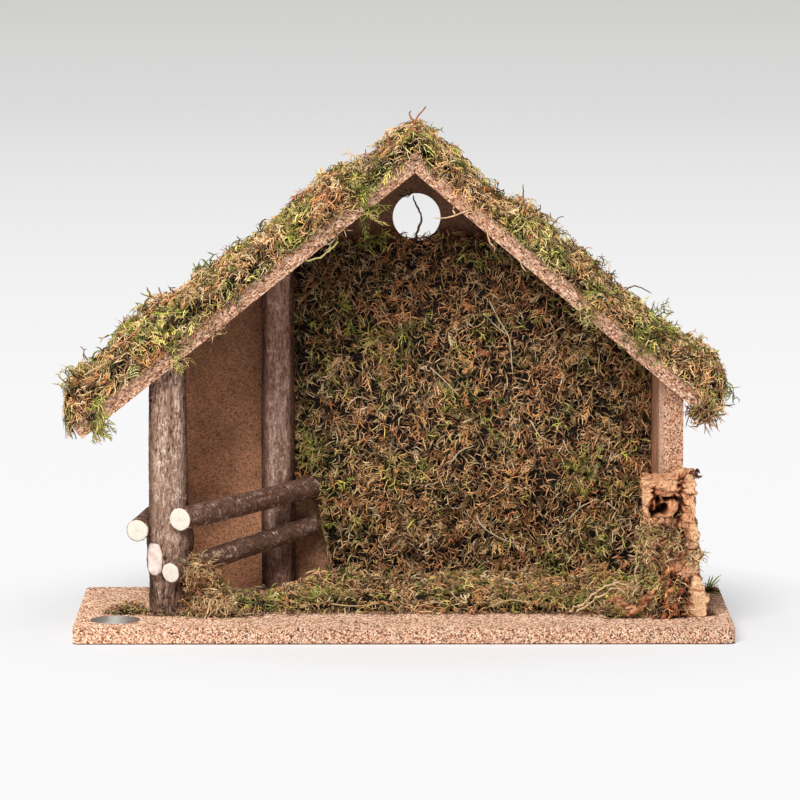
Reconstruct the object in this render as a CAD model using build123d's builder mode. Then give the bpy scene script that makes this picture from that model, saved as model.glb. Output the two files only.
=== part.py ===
"""Wooden nativity stable: a gabled chipboard shelter with a log corral, cork bark and moss.

Millimetres, +Z up, +X to the right and +Y to the back, as seen from the open front.
The origin is the centre of the base board's underside.
"""

import math
import os

from build123d import *

# Base board
base_width = 400.0
base_depth = 160.0
base_thickness = 10.0
base_corner_radius = 5.0
base_edge_radius = 0.8

# Right wall: a board with a thin lining on its inner side
wall_inset = 28.5
wall_setback = 66.0
wall_thickness = 12.0
lining_thickness = 3.0

# Posts: two barked logs at the left, the back one against the back panel
front_post_inset = 56.1
front_post_setback = 61.5
front_post_radius = 11.5
front_post_swell = 1.9
front_post_swell_height = 43.0
front_post_swell_reach = 12.0
back_post_inset = 121.7
back_post_radius = 10.3
post_taper_share = 0.05
front_post_station_shares = (0.0, 0.11, 0.16, 0.21, 0.26, 0.31, 0.36, 0.41, 0.5, 1.0)
back_post_station_shares = (0.0, 1.0)
post_gap = 0.2

# Flush-cut branch on the front post
scar_width = 10.7
scar_height_above_base = 34.0
scar_proud = 1.2
scar_turn = 42.0
branch_rise = 55.0
branch_root = 12.0

# Gable roof of two boards, the left one lapping over the right one at the ridge
ridge_x = 6.7
ridge_height = 281.7
left_pitch = 38.7
right_pitch = 40.2
roof_thickness = 10.0
roof_setback = 40.0
left_eave_overhang = 51.5
right_eave_overhang = 9.0

# Back panel, nailed on behind the base, the wall and the roof boards
panel_thickness = 3.0
panel_post_margin = 12.0
panel_lift = 1.0
panel_lap = 8.0
hole_diameter = 30.0
hole_drop = 37.0
hole_offset = 2.0

# Log rails: heights are those of the axis above the base board
rail_seat_depth = 1.0
seat_clearance = 0.3
rail_end_bevel = 0.6
upper_rail_radius = 6.8
upper_rail_front_height = 60.4
upper_rail_back_height = 64.6
upper_rail_front_reach = 10.6
upper_rail_back_reach = 18.0
lower_rail_radius = 6.2
lower_rail_front_height = 29.3
lower_rail_back_height = 38.9
lower_rail_front_reach = 19.8
lower_rail_back_reach = 13.8
rail_taper_share = 0.97
side_rail_radius = 6.6
side_rail_height = 53.0
side_rail_front_reach = 17.5
side_rail_seat_depth = 2.2
side_rail_turn = 7.5

# Cork bark block in front of the wall, its headroom under the right roof board's line,
# and its outline and hollows as shares of its width and height
cork_width = 42.0
cork_headroom = 28.8
cork_depth = 25.7
cork_wall_lap = 15.0
cork_gap = 0.3
cork_hollow_depth = 17.0
cork_foot_recess = 9.0
cork_slope = 3.0
cork_crack_width = 1.6
cork_crack_depth = 4.0
cork_crack_turn = 45.0
cork_column_edge_share = 0.82
cork_outline_shares = (
    (0.08, 0.0), (0.0, 0.16), (0.05, 0.36), (0.0, 0.5), (0.07, 0.64), (0.03, 0.8), (0.0, 1.0),
    (0.8, 0.97), (0.78, 0.9), (0.82, 0.83), (0.81, 0.69), (0.835, 0.54), (0.84, 0.4), (0.87, 0.26),
    (0.95, 0.14), (1.0, 0.135), (0.98, 0.02), (0.94, 0.0),
)
cork_hollow_shares = (
    (0.14, 0.76), (0.25, 0.81), (0.42, 0.83), (0.53, 0.78), (0.52, 0.66), (0.6, 0.54), (0.57, 0.42), (0.32, 0.38),
    (0.16, 0.48), (0.22, 0.6), (0.13, 0.68),
)
cork_foot_shares = (
    (0.12, 0.0), (0.1, 0.2), (0.28, 0.3), (0.56, 0.28), (0.64, 0.14), (0.62, 0.0),
)
cork_crack_shares = (0.24, 0.46, 0.66, 0.83)

# Curled bits of bark at the cork's foot
chip_radius = 7.0
chip_thickness = 1.6
chip_length = 16.0
chip_arc = 170.0
chip_spacing = 10.0
chip_turns = (-38.0, 28.0)
chip_gap = 0.4

# Moss beds
moss_gap = 0.3
left_moss_thickness = 12.5
right_moss_thickness = 10.0
eave_moss_overhang = 3.0
back_moss_thickness = 13.0
floor_moss_thickness = 9.0
floor_moss_setback = 58.0
floor_moss_left_gap = 26.0
floor_moss_corner_gap = 22.0
floor_moss_strip_depth = 24.0
floor_moss_front_wave = 4.0
floor_moss_sections = 9
floor_moss_step = 4.0
moss_lump_share = 0.22
moss_edge_share = 0.62
moss_edge_ramp_share = 0.2
moss_waves_along = 3.0
moss_waves_across = 1.6
moss_sections = 5
moss_points = 11
left_moss_profile_shares = (1.0, 0.92, 1.08, 1.0, 0.86, 1.0, 1.22, 1.12, 1.4, 1.5, 1.7)
right_moss_profile_shares = (1.0, 1.0, 0.86, 0.68, 1.08, 1.1, 1.0, 1.0, 1.15, 1.36, 1.75)
left_moss_phase_share = 0.15
right_moss_phase_share = 0.55
back_moss_phase_share = 0.35
floor_moss_phase_share = 0.8
clump_radius = 12.0
clump_height = 22.0
patch_width = 26.0
patch_depth = 22.0
patch_height = 3.0
dome_step_shares = (0.0, 0.35, 0.65, 0.85, 0.96)
tuft_bulge = 4.0
tuft_taper = 12.0

# Round sticker on the base board
sticker_diameter = 30.0
sticker_thickness = 0.2
sticker_inset_x = 24.6
sticker_setback = 31.2

# Wire nails and brads, drawn with few sides
nail_sides = 8
nail_head_sides = 12
nail_shank_radius = 0.8
nail_head_radius = 1.8
nail_head_thickness = 0.8
nail_length = 22.0
nail_recess = 0.3
brad_shank_radius = 0.6
brad_head_radius = 1.2
brad_head_thickness = 0.5
brad_length = 13.0
nail_clearance = 0.1
wall_nail_shares = (0.25, 0.75)
base_brad_shares = (0.1, 0.5, 0.9)
upright_brad_share = 0.45
roof_brad_shares = (0.2, 0.8)

# One overrun for every cut and trim
overrun = 5.0

# Places that follow from the sizes above
base_top = base_thickness
front_y = -base_depth / 2
back_y = base_depth / 2
left_x = -base_width / 2
right_x = base_width / 2
wall_outer_x = right_x - wall_inset
wall_inner_x = wall_outer_x - wall_thickness
wall_middle_x = (wall_inner_x + wall_outer_x) / 2
lining_inner_x = wall_inner_x - lining_thickness
wall_front_y = front_y + wall_setback
wall_depth = back_y - wall_front_y
front_post_x = left_x + front_post_inset
front_post_y = front_y + front_post_setback
back_post_x = left_x + back_post_inset
back_post_y = back_y - back_post_radius - post_gap
panel_left_x = front_post_x - panel_post_margin
panel_back_y = back_y + panel_thickness
roof_depth = base_depth - roof_setback
roof_front_y = front_y + roof_setback

# The gable, drawn in X and Z: down-slope and upward directions of both roof boards
left_sin = math.sin(math.radians(left_pitch))
left_cos = math.cos(math.radians(left_pitch))
right_sin = math.sin(math.radians(right_pitch))
right_cos = math.cos(math.radians(right_pitch))
left_down = Vector(-left_cos, -left_sin)
left_up = Vector(-left_sin, left_cos)
right_down = Vector(right_cos, -right_sin)
right_up = Vector(right_sin, right_cos)
ridge = Vector(ridge_x, ridge_height)
ridge_lap = roof_thickness / math.sin(math.radians(left_pitch + right_pitch))
left_slope = (ridge_x - front_post_x + left_eave_overhang) / left_cos
right_slope = (wall_outer_x + right_eave_overhang - ridge_x) / right_cos
lap_end = ridge - left_down * ridge_lap
lap_corner = lap_end + left_up * roof_thickness
left_eave = ridge + left_down * left_slope
right_eave = ridge + right_down * right_slope
hole_x = ridge_x + hole_offset
hole_z = ridge_height - hole_drop


def left_under(x):
    """Height of the left roof board's underside."""
    return ridge_height - (ridge_x - x) * left_sin / left_cos


def right_under(x):
    """Height of the right roof board's underside."""
    return ridge_height - (x - ridge_x) * right_sin / right_cos


def gable_plane(y):
    """Upright plane across the stable at y: its own x and y are X and Z, and it faces the front."""
    return Plane.XZ.offset(-y)


def front_post_radius_at(z):
    """Radius of the front post: a slight taper and one swelling where the branch grew."""
    taper = post_taper_share * (z - base_top) / (left_under(front_post_x) - base_top)
    swell = math.exp(-(((z - base_top - front_post_swell_height) / front_post_swell_reach) ** 2))
    return front_post_radius * (1 - taper) + front_post_swell * swell


def back_post_radius_at(z):
    """Radius of the back post: a slight taper."""
    taper = post_taper_share * (z - base_top) / (left_under(back_post_x) - base_top)
    return back_post_radius * (1 - taper)


# Nail places: each plane lies on the outer face of a head and faces the way the shank goes
wall_nail_ys = [wall_front_y + share * wall_depth for share in wall_nail_shares]
base_nail_points = [(front_post_x, front_post_y), (back_post_x, back_post_y)]
base_nail_points += [(wall_middle_x, y) for y in wall_nail_ys]
base_nail_planes = [Plane((x, y, nail_recess), z_dir=(0, 0, 1)) for x, y in base_nail_points]

left_nail_shift = (nail_length - roof_thickness) * left_sin / 2
right_nail_shift = (nail_length - roof_thickness) * right_sin / 2


def left_nail_plane(x, y):
    """Nail through the left roof board that crosses its underside at x."""
    point = Vector(x, left_under(x)) + left_up * roof_thickness
    return Plane((point.X, y, point.Y), z_dir=(-left_up.X, 0, -left_up.Y))


def right_nail_plane(x, y):
    """Nail through the right roof board that crosses its underside at x."""
    point = Vector(x, right_under(x)) + right_up * roof_thickness
    return Plane((point.X, y, point.Y), z_dir=(-right_up.X, 0, -right_up.Y))


roof_nail_planes = [
    left_nail_plane(front_post_x - left_nail_shift, front_post_y),
    left_nail_plane(back_post_x - left_nail_shift, back_post_y),
]
roof_nail_planes += [right_nail_plane(wall_middle_x + right_nail_shift, y) for y in wall_nail_ys]
ridge_nail_ys = [roof_front_y + share * roof_depth for share in wall_nail_shares]
ridge_nail_x = ridge_x + left_cos * ridge_lap / 2
roof_nail_planes += [left_nail_plane(ridge_nail_x, y) for y in ridge_nail_ys]

panel_width = wall_outer_x - panel_left_x
brad_points = [(panel_left_x + share * panel_width, base_thickness / 2) for share in base_brad_shares]
brad_points.append((wall_middle_x, base_top + upright_brad_share * (right_under(wall_outer_x) - base_top)))
brad_points.append((back_post_x, base_top + upright_brad_share * (left_under(back_post_x) - base_top)))
for share in roof_brad_shares:
    left_brad_x = ridge_x + share * (panel_left_x - ridge_x)
    right_brad_x = ridge_x + share * (wall_outer_x - ridge_x)
    brad_points.append((left_brad_x, left_under(left_brad_x) + panel_lap / left_cos / 2))
    brad_points.append((right_brad_x, right_under(right_brad_x) + panel_lap / right_cos / 2))
brad_face_y = panel_back_y + brad_head_thickness
brad_planes = [Plane((x, brad_face_y, z), z_dir=(0, -1, 0)) for x, z in brad_points]


def nail_group(planes, shank_radius, head_radius, head_thickness, length):
    """Nails whose heads' outer faces lie on the planes."""
    with BuildPart() as group:
        with BuildSketch(*planes):
            RegularPolygon(head_radius, nail_head_sides)
        extrude(amount=head_thickness)
        with BuildSketch(*planes):
            RegularPolygon(shank_radius, nail_sides)
        extrude(amount=length)
    return group.part


def nail_bores(planes, shank_radius, head_radius, head_thickness, length):
    """What the nails take out of the wood, with clearance round them and the heads' pockets open."""
    with BuildPart() as bores:
        with BuildSketch(*[plane.offset(head_thickness) for plane in planes]):
            RegularPolygon(head_radius + nail_clearance, nail_head_sides)
        extrude(amount=-head_thickness - overrun)
        with BuildSketch(*planes):
            RegularPolygon(shank_radius + nail_clearance, nail_sides)
        extrude(amount=length + nail_clearance)
    return bores.part


nail_sizes = (nail_shank_radius, nail_head_radius, nail_head_thickness, nail_length)
brad_sizes = (brad_shank_radius, brad_head_radius, brad_head_thickness, brad_length)
base_nails = nail_group(base_nail_planes, *nail_sizes)
base_nail_bores = nail_bores(base_nail_planes, *nail_sizes)
roof_nails = nail_group(roof_nail_planes, *nail_sizes)
roof_nail_bores = nail_bores(roof_nail_planes, *nail_sizes)
panel_brads = nail_group(brad_planes, *brad_sizes)
panel_brad_bores = nail_bores(brad_planes, *brad_sizes)

# Base board with worn upper edges
with BuildPart() as base_board:
    with BuildSketch():
        RectangleRounded(base_width, base_depth, base_corner_radius)
    extrude(amount=base_thickness)
    fillet(base_board.faces().sort_by(Axis.Z)[-1].edges(), base_edge_radius)
    add(base_nail_bores, mode=Mode.SUBTRACT)
    add(panel_brad_bores, mode=Mode.SUBTRACT)

# Roof boards
with BuildPart() as left_roof_board:
    with BuildSketch(gable_plane(back_y)):
        Polygon(
            lap_end,
            left_eave,
            left_eave + left_up * roof_thickness,
            lap_corner,
            align=None,
        )
    extrude(amount=roof_depth)
    add(roof_nail_bores, mode=Mode.SUBTRACT)
    add(panel_brad_bores, mode=Mode.SUBTRACT)

with BuildPart() as right_roof_board:
    with BuildSketch(gable_plane(back_y)):
        Polygon(
            ridge,
            right_eave,
            right_eave + right_up * roof_thickness,
            lap_end,
            align=None,
        )
    extrude(amount=roof_depth)
    add(roof_nail_bores, mode=Mode.SUBTRACT)
    add(panel_brad_bores, mode=Mode.SUBTRACT)

# Back panel: a gable whose slopes lap the back edges of the roof boards
left_rise = panel_lap / left_cos
right_rise = panel_lap / right_cos
panel_apex_x = ridge_x + (right_rise - left_rise) / (left_sin / left_cos + right_sin / right_cos)
with BuildPart() as back_panel:
    with BuildSketch(gable_plane(panel_back_y)):
        Polygon(
            (panel_left_x, panel_lift),
            (wall_outer_x, panel_lift),
            (wall_outer_x, right_under(wall_outer_x) + right_rise),
            (panel_apex_x, left_under(panel_apex_x) + left_rise),
            (panel_left_x, left_under(panel_left_x) + left_rise),
            align=None,
        )
        with Locations((hole_x, hole_z)):
            Circle(hole_diameter / 2, mode=Mode.SUBTRACT)
    extrude(amount=panel_thickness)
    add(panel_brad_bores, mode=Mode.SUBTRACT)


def wall_sheet(inner_x, outer_x):
    """Upright sheet from the base board to the right roof board's underside."""
    with BuildPart() as sheet:
        with BuildSketch(gable_plane(back_y)):
            Polygon(
                (inner_x, base_top),
                (outer_x, base_top),
                (outer_x, right_under(outer_x)),
                (inner_x, right_under(inner_x)),
                align=None,
            )
        extrude(amount=wall_depth)
        for bores in (base_nail_bores, roof_nail_bores, panel_brad_bores):
            add(bores, mode=Mode.SUBTRACT)
    return sheet.part


right_wall_board = wall_sheet(wall_inner_x, wall_outer_x)
right_wall_lining = wall_sheet(lining_inner_x, wall_inner_x)

left_underside = Plane((ridge_x, 0, ridge_height), z_dir=(left_up.X, 0, left_up.Y))

# Flush-cut branch: a stick that rises out of the post, sawn off along an upright plane
scar_out = Vector(-math.sin(math.radians(scar_turn)), -math.cos(math.radians(scar_turn)), 0)
branch_way = scar_out * math.cos(math.radians(branch_rise)) + Vector(0, 0, math.sin(math.radians(branch_rise)))
scar_reach = front_post_radius + scar_proud
scar_centre = Vector(front_post_x, front_post_y, base_top + scar_height_above_base) + scar_out * scar_reach
branch_root_centre = scar_centre - branch_way * branch_root
with BuildPart() as branch_stub:
    with BuildSketch(Plane(branch_root_centre, z_dir=branch_way)):
        Circle(scar_width / 2)
    extrude(amount=branch_root + scar_width)
    split(bisect_by=Plane(scar_centre, z_dir=scar_out), keep=Keep.BOTTOM)


def barked_post(x, y, radius_at, station_shares):
    """Log that stands on the base board, cut to the slope of the left roof board at its top."""
    length = left_under(x + radius_at(base_top)) + overrun - base_top
    stations = [base_top + share * length for share in station_shares]
    with BuildPart() as post:
        with BuildSketch(gable_plane(y)):
            with BuildLine():
                side = Polyline(*[(x + radius_at(z), z) for z in stations])
                Polyline(side @ 1, (x, stations[-1]), (x, base_top), side @ 0)
            make_face()
        revolve(axis=Axis((x, y, 0), (0, 0, 1)))
        split(bisect_by=left_underside, keep=Keep.BOTTOM)
        for bores in (base_nail_bores, roof_nail_bores, panel_brad_bores):
            add(bores, mode=Mode.SUBTRACT)
    return post.part


with BuildPart() as front_left_post:
    add(barked_post(front_post_x, front_post_y, front_post_radius_at, front_post_station_shares))
    add(branch_stub.part)

back_left_post = barked_post(back_post_x, back_post_y, back_post_radius_at, back_post_station_shares)

# Log rails: each lies in coped seats against the posts
post_line = Vector(back_post_x - front_post_x, back_post_y - front_post_y, 0)
rail_side = Vector(post_line.Y, -post_line.X, 0).normalized()


def seat_radius(radius_at, height, rail_radius):
    """Radius of the seat that clears a post over the whole thickness of a rail."""
    levels = (height - rail_radius, height, height + rail_radius)
    return max(radius_at(level) for level in levels) + seat_clearance


def log_rail(front_end, back_end, radius, seats):
    """Barked stick from front_end to back_end, thinner at the back, with round seats (x, y, radius) cut in it."""
    way = back_end - front_end
    with BuildPart() as rail:
        with BuildSketch(Plane(front_end, z_dir=way)):
            Circle(radius)
        with BuildSketch(Plane(back_end, z_dir=way)):
            Circle(radius * rail_taper_share)
        loft()
        chamfer(rail.edges().filter_by(GeomType.CIRCLE), rail_end_bevel)
        for x, y, cut_radius in seats:
            with Locations((x, y, front_end.Z)):
                Cylinder(cut_radius, ridge_height, mode=Mode.SUBTRACT)
    return rail.part


def corral_rail(radius, front_height, back_height, front_reach, back_reach):
    """Rail across the right-hand sides of both posts, reaching past them at both ends."""
    front_z = base_top + front_height
    back_z = base_top + back_height
    front_seat = seat_radius(front_post_radius_at, front_z, radius)
    back_seat = seat_radius(back_post_radius_at, back_z, radius)
    front_point = Vector(front_post_x, front_post_y, front_z) + rail_side * (front_seat + radius - rail_seat_depth)
    back_point = Vector(back_post_x, back_post_y, back_z) + rail_side * (back_seat + radius - rail_seat_depth)
    way = (back_point - front_point).normalized()
    front_end = front_point - way * front_reach
    back_end = back_point + way * back_reach
    seats = ((front_post_x, front_post_y, front_seat), (back_post_x, back_post_y, back_seat))
    return log_rail(front_end, back_end, radius, seats)


upper_right_rail = corral_rail(
    upper_rail_radius,
    upper_rail_front_height,
    upper_rail_back_height,
    upper_rail_front_reach,
    upper_rail_back_reach,
)
lower_right_rail = corral_rail(
    lower_rail_radius,
    lower_rail_front_height,
    lower_rail_back_height,
    lower_rail_front_reach,
    lower_rail_back_reach,
)

# Side rail: past the left of the front post, back to the panel, where it is cut off square to the panel
side_z = base_top + side_rail_height
side_seat = seat_radius(front_post_radius_at, side_z, side_rail_radius)
side_way = Vector(math.sin(math.radians(side_rail_turn)), math.cos(math.radians(side_rail_turn)), 0)
side_out = Vector(-side_way.Y, side_way.X, 0)
side_point = Vector(front_post_x, front_post_y, side_z)
side_point += side_out * (side_seat + side_rail_radius - side_rail_seat_depth)
side_front_end = side_point - side_way * side_rail_front_reach
side_back_end = side_point + side_way * (back_y - side_point.Y + overrun)
with BuildPart() as left_side_rail:
    add(log_rail(side_front_end, side_back_end, side_rail_radius, ((front_post_x, front_post_y, side_seat),)))
    split(bisect_by=gable_plane(back_y), keep=Keep.TOP)

# Cork bark block: a ragged hollow piece, its top sloping to the front, with cracks across its right-hand column
cork_left_x = wall_inner_x - cork_wall_lap
cork_height = right_under(cork_left_x + cork_width) - cork_headroom - base_top
cork_back_y = wall_front_y - cork_gap
cork_front_y = cork_back_y - cork_depth


def cork_point(shares):
    """Point of the cork's front view."""
    return (cork_left_x + shares[0] * cork_width, base_top + shares[1] * cork_height)


cork_top_front = Vector(cork_left_x, cork_front_y, base_top + cork_height - cork_slope)
cork_top_way = Vector(0, cork_depth, cork_slope).normalized()
cork_top_plane = Plane(cork_top_front, x_dir=(1, 0, 0), z_dir=Vector(1, 0, 0).cross(cork_top_way))
column_edge_x = cork_left_x + cork_column_edge_share * cork_width
with BuildPart() as cork_bark_block:
    with BuildSketch(gable_plane(cork_back_y)):
        Polygon(*[cork_point(shares) for shares in cork_outline_shares], align=None)
    extrude(amount=cork_depth)
    split(bisect_by=cork_top_plane, keep=Keep.BOTTOM)
    with BuildSketch(gable_plane(cork_front_y)):
        with BuildLine():
            Spline(*[cork_point(shares) for shares in cork_hollow_shares], periodic=True)
        make_face()
    extrude(amount=-cork_hollow_depth, mode=Mode.SUBTRACT)
    with BuildSketch(gable_plane(cork_front_y)):
        Polygon(*[cork_point(shares) for shares in cork_foot_shares], align=None)
    extrude(amount=-cork_foot_recess, mode=Mode.SUBTRACT)
    with Locations(*[(column_edge_x, cork_front_y, base_top + share * cork_height) for share in cork_crack_shares]):
        Box(
            cork_crack_depth * 2,
            cork_crack_depth * 2,
            cork_crack_width,
            rotation=(0, 0, cork_crack_turn),
            mode=Mode.SUBTRACT,
        )

# Curled bark bits: short shells of a tube that lie on the base board, their edges down
chip_row_x = cork_left_x - chip_radius - chip_gap
chip_inner_radius = chip_radius - chip_thickness
chip_edge_cos = math.cos(math.radians(chip_arc / 2))
chip_z = base_top + chip_gap - min(chip_radius * chip_edge_cos, chip_inner_radius * chip_edge_cos)
with BuildPart() as bark_chips:
    for order, turn in enumerate(chip_turns):
        chip_y = cork_front_y + chip_radius + order * (chip_radius * 2 + chip_spacing)
        chip_way = Vector(math.sin(math.radians(turn)), math.cos(math.radians(turn)), 0)
        chip_x = chip_row_x - order * chip_radius
        chip_start = Vector(chip_x, chip_y, chip_z) - chip_way * chip_length / 2
        with BuildSketch(Plane(chip_start, x_dir=(chip_way.Y, -chip_way.X, 0), z_dir=-chip_way)):
            with BuildLine():
                outer = CenterArc((0, 0), chip_radius, 90 - chip_arc / 2, chip_arc)
                inner = CenterArc((0, 0), chip_inner_radius, 90 - chip_arc / 2, chip_arc)
                Line(outer @ 0, inner @ 0)
                Line(outer @ 1, inner @ 1)
            make_face()
        extrude(amount=-chip_length)


def lump(along_share, across_share, phase):
    """Height of a moss bed as a share of its thickness: gentle lumps, lower at the edges."""
    along_wave = math.sin(2 * math.pi * (moss_waves_along * along_share + phase))
    across_wave = math.cos(2 * math.pi * (moss_waves_across * across_share + along_share + phase))
    edge = min(along_share, 1 - along_share, across_share, 1 - across_share)
    edge_share = moss_edge_share + (1 - moss_edge_share) * min(1, edge / moss_edge_ramp_share)
    return edge_share * (1 + moss_lump_share * (along_wave + across_wave) / 2)


def moss_bed(planes, starts, ends, thickness, phase, ruled=False, profile_shares=None):
    """Moss between section planes: x runs along each section from its start to its end and y is height.

    A start or an end is a function of height that gives x, so that an end can lean. Profile shares give the
    thickness at each point along a section.
    """
    with BuildPart() as bed:
        for number, plane in enumerate(planes):
            across_share = number / (len(planes) - 1)
            start = starts[number]
            end = ends[number]
            heights = [thickness * lump(i / (moss_points - 1), across_share, phase) for i in range(moss_points)]
            if profile_shares:
                heights = [height * share for height, share in zip(heights, profile_shares)]
            first = start(heights[0])
            last = end(heights[-1])
            top = []
            for i, height in enumerate(heights):
                top.append((first + (last - first) * i / (moss_points - 1), height))
            with BuildSketch(plane):
                with BuildLine():
                    if ruled:
                        Polyline(*top)
                    else:
                        Spline(*top)
                    Polyline(top[-1], (end(moss_gap), moss_gap), (start(moss_gap), moss_gap), top[0])
                make_face()
        loft(ruled=ruled)
    return bed.part


def upright_end(x):
    """End of a moss bed that stands square to what carries it."""
    return lambda height: x


# Moss on the roof: beds on the upper faces of the boards that meet above the ridge
roof_moss_ys = [roof_front_y + roof_depth * i / (moss_sections - 1) for i in range(moss_sections)]
left_moss_end = ridge_lap + left_slope + eave_moss_overhang
left_moss_planes = [
    Plane((lap_corner.X, y, lap_corner.Y), x_dir=(left_down.X, 0, left_down.Y), z_dir=(0, 1, 0)) for y in roof_moss_ys
]
left_roof_moss = moss_bed(
    left_moss_planes,
    [lambda height: -height * left_sin / left_cos] * moss_sections,
    [upright_end(left_moss_end)] * moss_sections,
    left_moss_thickness,
    left_moss_phase_share,
    profile_shares=left_moss_profile_shares,
)

# The right bed starts at the end of the lap and leans to the ridge's upright plane
right_moss_origin = ridge + right_up * roof_thickness
lap_run = (lap_end - right_moss_origin).dot(right_down)
corner_run = (lap_corner - right_moss_origin).dot(right_down)
corner_rise = (lap_corner - right_moss_origin).dot(right_up)


def right_moss_start(height):
    """Run along the right board where the bed starts: clear of the left board's lap and of its moss."""
    if height < corner_rise:
        return lap_run + moss_gap
    return corner_run - (height - corner_rise) * right_sin / right_cos + moss_gap / right_cos


right_moss_end = right_slope + eave_moss_overhang
right_moss_planes = [
    Plane(
        (right_moss_origin.X, y, right_moss_origin.Y),
        x_dir=(right_down.X, 0, right_down.Y),
        z_dir=(0, -1, 0),
    )
    for y in roof_moss_ys
]
right_roof_moss = moss_bed(
    right_moss_planes,
    [right_moss_start] * moss_sections,
    [upright_end(right_moss_end)] * moss_sections,
    right_moss_thickness,
    right_moss_phase_share,
    profile_shares=right_moss_profile_shares,
)

# Moss on the back panel: from the back post to the lining, up to the roof boards and the hole, clear of the rails
back_moss_left_x = back_post_x + back_post_radius + moss_gap
back_moss_right_x = lining_inner_x - moss_gap
back_moss_xs = [
    back_moss_left_x + (back_moss_right_x - back_moss_left_x) * i / (moss_sections - 1) for i in range(moss_sections)
]
back_moss_planes = [Plane((x, back_y, 0), x_dir=(0, 0, 1), z_dir=(1, 0, 0)) for x in back_moss_xs]
rail_box = upper_right_rail.bounding_box()
with BuildPart() as back_wall_moss:
    add(
        moss_bed(
            back_moss_planes,
            [upright_end(base_top + moss_gap)] * moss_sections,
            [upright_end(ridge_height)] * moss_sections,
            back_moss_thickness,
            back_moss_phase_share,
        )
    )
    split(bisect_by=left_underside.offset(-moss_gap), keep=Keep.BOTTOM)
    split(
        bisect_by=Plane((ridge_x, 0, ridge_height - moss_gap), z_dir=(right_up.X, 0, right_up.Y)),
        keep=Keep.BOTTOM,
    )
    split(bisect_by=Plane.XY.offset(hole_z - hole_diameter / 2 - moss_gap), keep=Keep.BOTTOM)
    with Locations((back_moss_left_x, back_y, 0)):
        Box(
            (rail_box.max.X + moss_gap - back_moss_left_x) * 2,
            back_moss_thickness * 4,
            (rail_box.max.Z + moss_gap) * 2,
            mode=Mode.SUBTRACT,
        )

# Moss on the floor: a narrow strip beside the corral that widens in front of the back panel
# and steps back behind the bark bits and the cork
floor_back_run = base_depth - back_moss_thickness * (1 + moss_lump_share) - moss_gap
floor_left_x = front_post_x + front_post_radius + floor_moss_left_gap
floor_corner_x = back_post_x + floor_moss_corner_gap
floor_step_x = chip_row_x - chip_radius * 2 - chip_length / 2 - moss_gap
floor_right_x = lining_inner_x - moss_gap
floor_step_run = bark_chips.part.bounding_box().max.Y - front_y + moss_gap
floor_moss_xs = []
floor_fronts = []
floor_backs = []
for i in range(floor_moss_sections):
    x = floor_left_x + (floor_step_x - floor_left_x) * i / (floor_moss_sections - 1)
    front_run = floor_moss_setback + floor_moss_front_wave * math.sin(i * i)
    widened_share = min(1, max(0, (x - back_post_x) / (floor_corner_x - back_post_x)))
    strip_run = front_run + floor_moss_strip_depth
    floor_moss_xs.append(x)
    floor_fronts.append(front_run)
    floor_backs.append(strip_run + (floor_back_run - strip_run) * widened_share)
for x in (floor_step_x + floor_moss_step, cork_left_x, floor_right_x):
    floor_moss_xs.append(x)
    floor_fronts.append(floor_step_run)
    floor_backs.append(floor_back_run)
floor_moss = moss_bed(
    [Plane((x, front_y, base_top), x_dir=(0, 1, 0), z_dir=(1, 0, 0)) for x in floor_moss_xs],
    [upright_end(run) for run in floor_fronts],
    [upright_end(run) for run in floor_backs],
    floor_moss_thickness,
    floor_moss_phase_share,
    ruled=True,
)


def moss_dome(x, y, half_width, half_depth, height):
    """Low dome of moss on the base board, drawn in at its foot."""
    with BuildPart() as dome:
        for step in dome_step_shares:
            reach_share = math.sqrt(1 - step * step)
            with BuildSketch(Plane.XY.offset(base_top + moss_gap + (height - moss_gap) * step)):
                with Locations((x, y)):
                    Ellipse(half_width * reach_share, half_depth * reach_share)
        loft(ruled=True)
    return dome.part


# Moss at the front post's foot: a clump to its right and a thin patch to its left
clump_x = front_post_x + front_post_radius + clump_radius + moss_gap
patch_x = front_post_x - front_post_radius - patch_width / 2 - moss_gap
with BuildPart() as front_post_moss:
    add(moss_dome(clump_x, front_post_y, clump_radius, clump_radius, clump_height))
    add(moss_dome(patch_x, front_post_y, patch_width / 2, patch_depth / 2, patch_height))

# Moss that fills the recess at the cork's foot and swells out of it
with BuildPart() as cork_moss:
    with BuildSketch(gable_plane(cork_front_y + cork_foot_recess - moss_gap)):
        Polygon(*[cork_point(shares) for shares in cork_foot_shares], align=None)
        offset(amount=-moss_gap)
    extrude(amount=cork_foot_recess + tuft_bulge, taper=tuft_taper)

# Round sticker
with BuildPart() as round_sticker:
    with BuildSketch(Plane.XY.offset(base_top)):
        with Locations((left_x + sticker_inset_x, front_y + sticker_setback)):
            Circle(sticker_diameter / 2)
    extrude(amount=sticker_thickness)

pieces = {
    "base_board": base_board.part,
    "back_panel": back_panel.part,
    "right_wall_board": right_wall_board,
    "right_wall_lining": right_wall_lining,
    "left_roof_board": left_roof_board.part,
    "right_roof_board": right_roof_board.part,
    "front_left_post": front_left_post.part,
    "back_left_post": back_left_post,
    "upper_right_rail": upper_right_rail,
    "lower_right_rail": lower_right_rail,
    "left_side_rail": left_side_rail.part,
    "cork_bark_block": cork_bark_block.part,
    "bark_chips": bark_chips.part,
    "left_roof_moss": left_roof_moss,
    "right_roof_moss": right_roof_moss,
    "back_wall_moss": back_wall_moss.part,
    "floor_moss": floor_moss,
    "front_post_moss": front_post_moss.part,
    "cork_moss": cork_moss.part,
    "round_sticker": round_sticker.part,
    "base_nails": base_nails,
    "roof_nails": roof_nails,
    "panel_brads": panel_brads,
}

os.makedirs("parts", exist_ok=True)
for node, piece in pieces.items():
    piece.label = node
    export_step(piece, f"parts/{node}.step")
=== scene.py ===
import math

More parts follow.
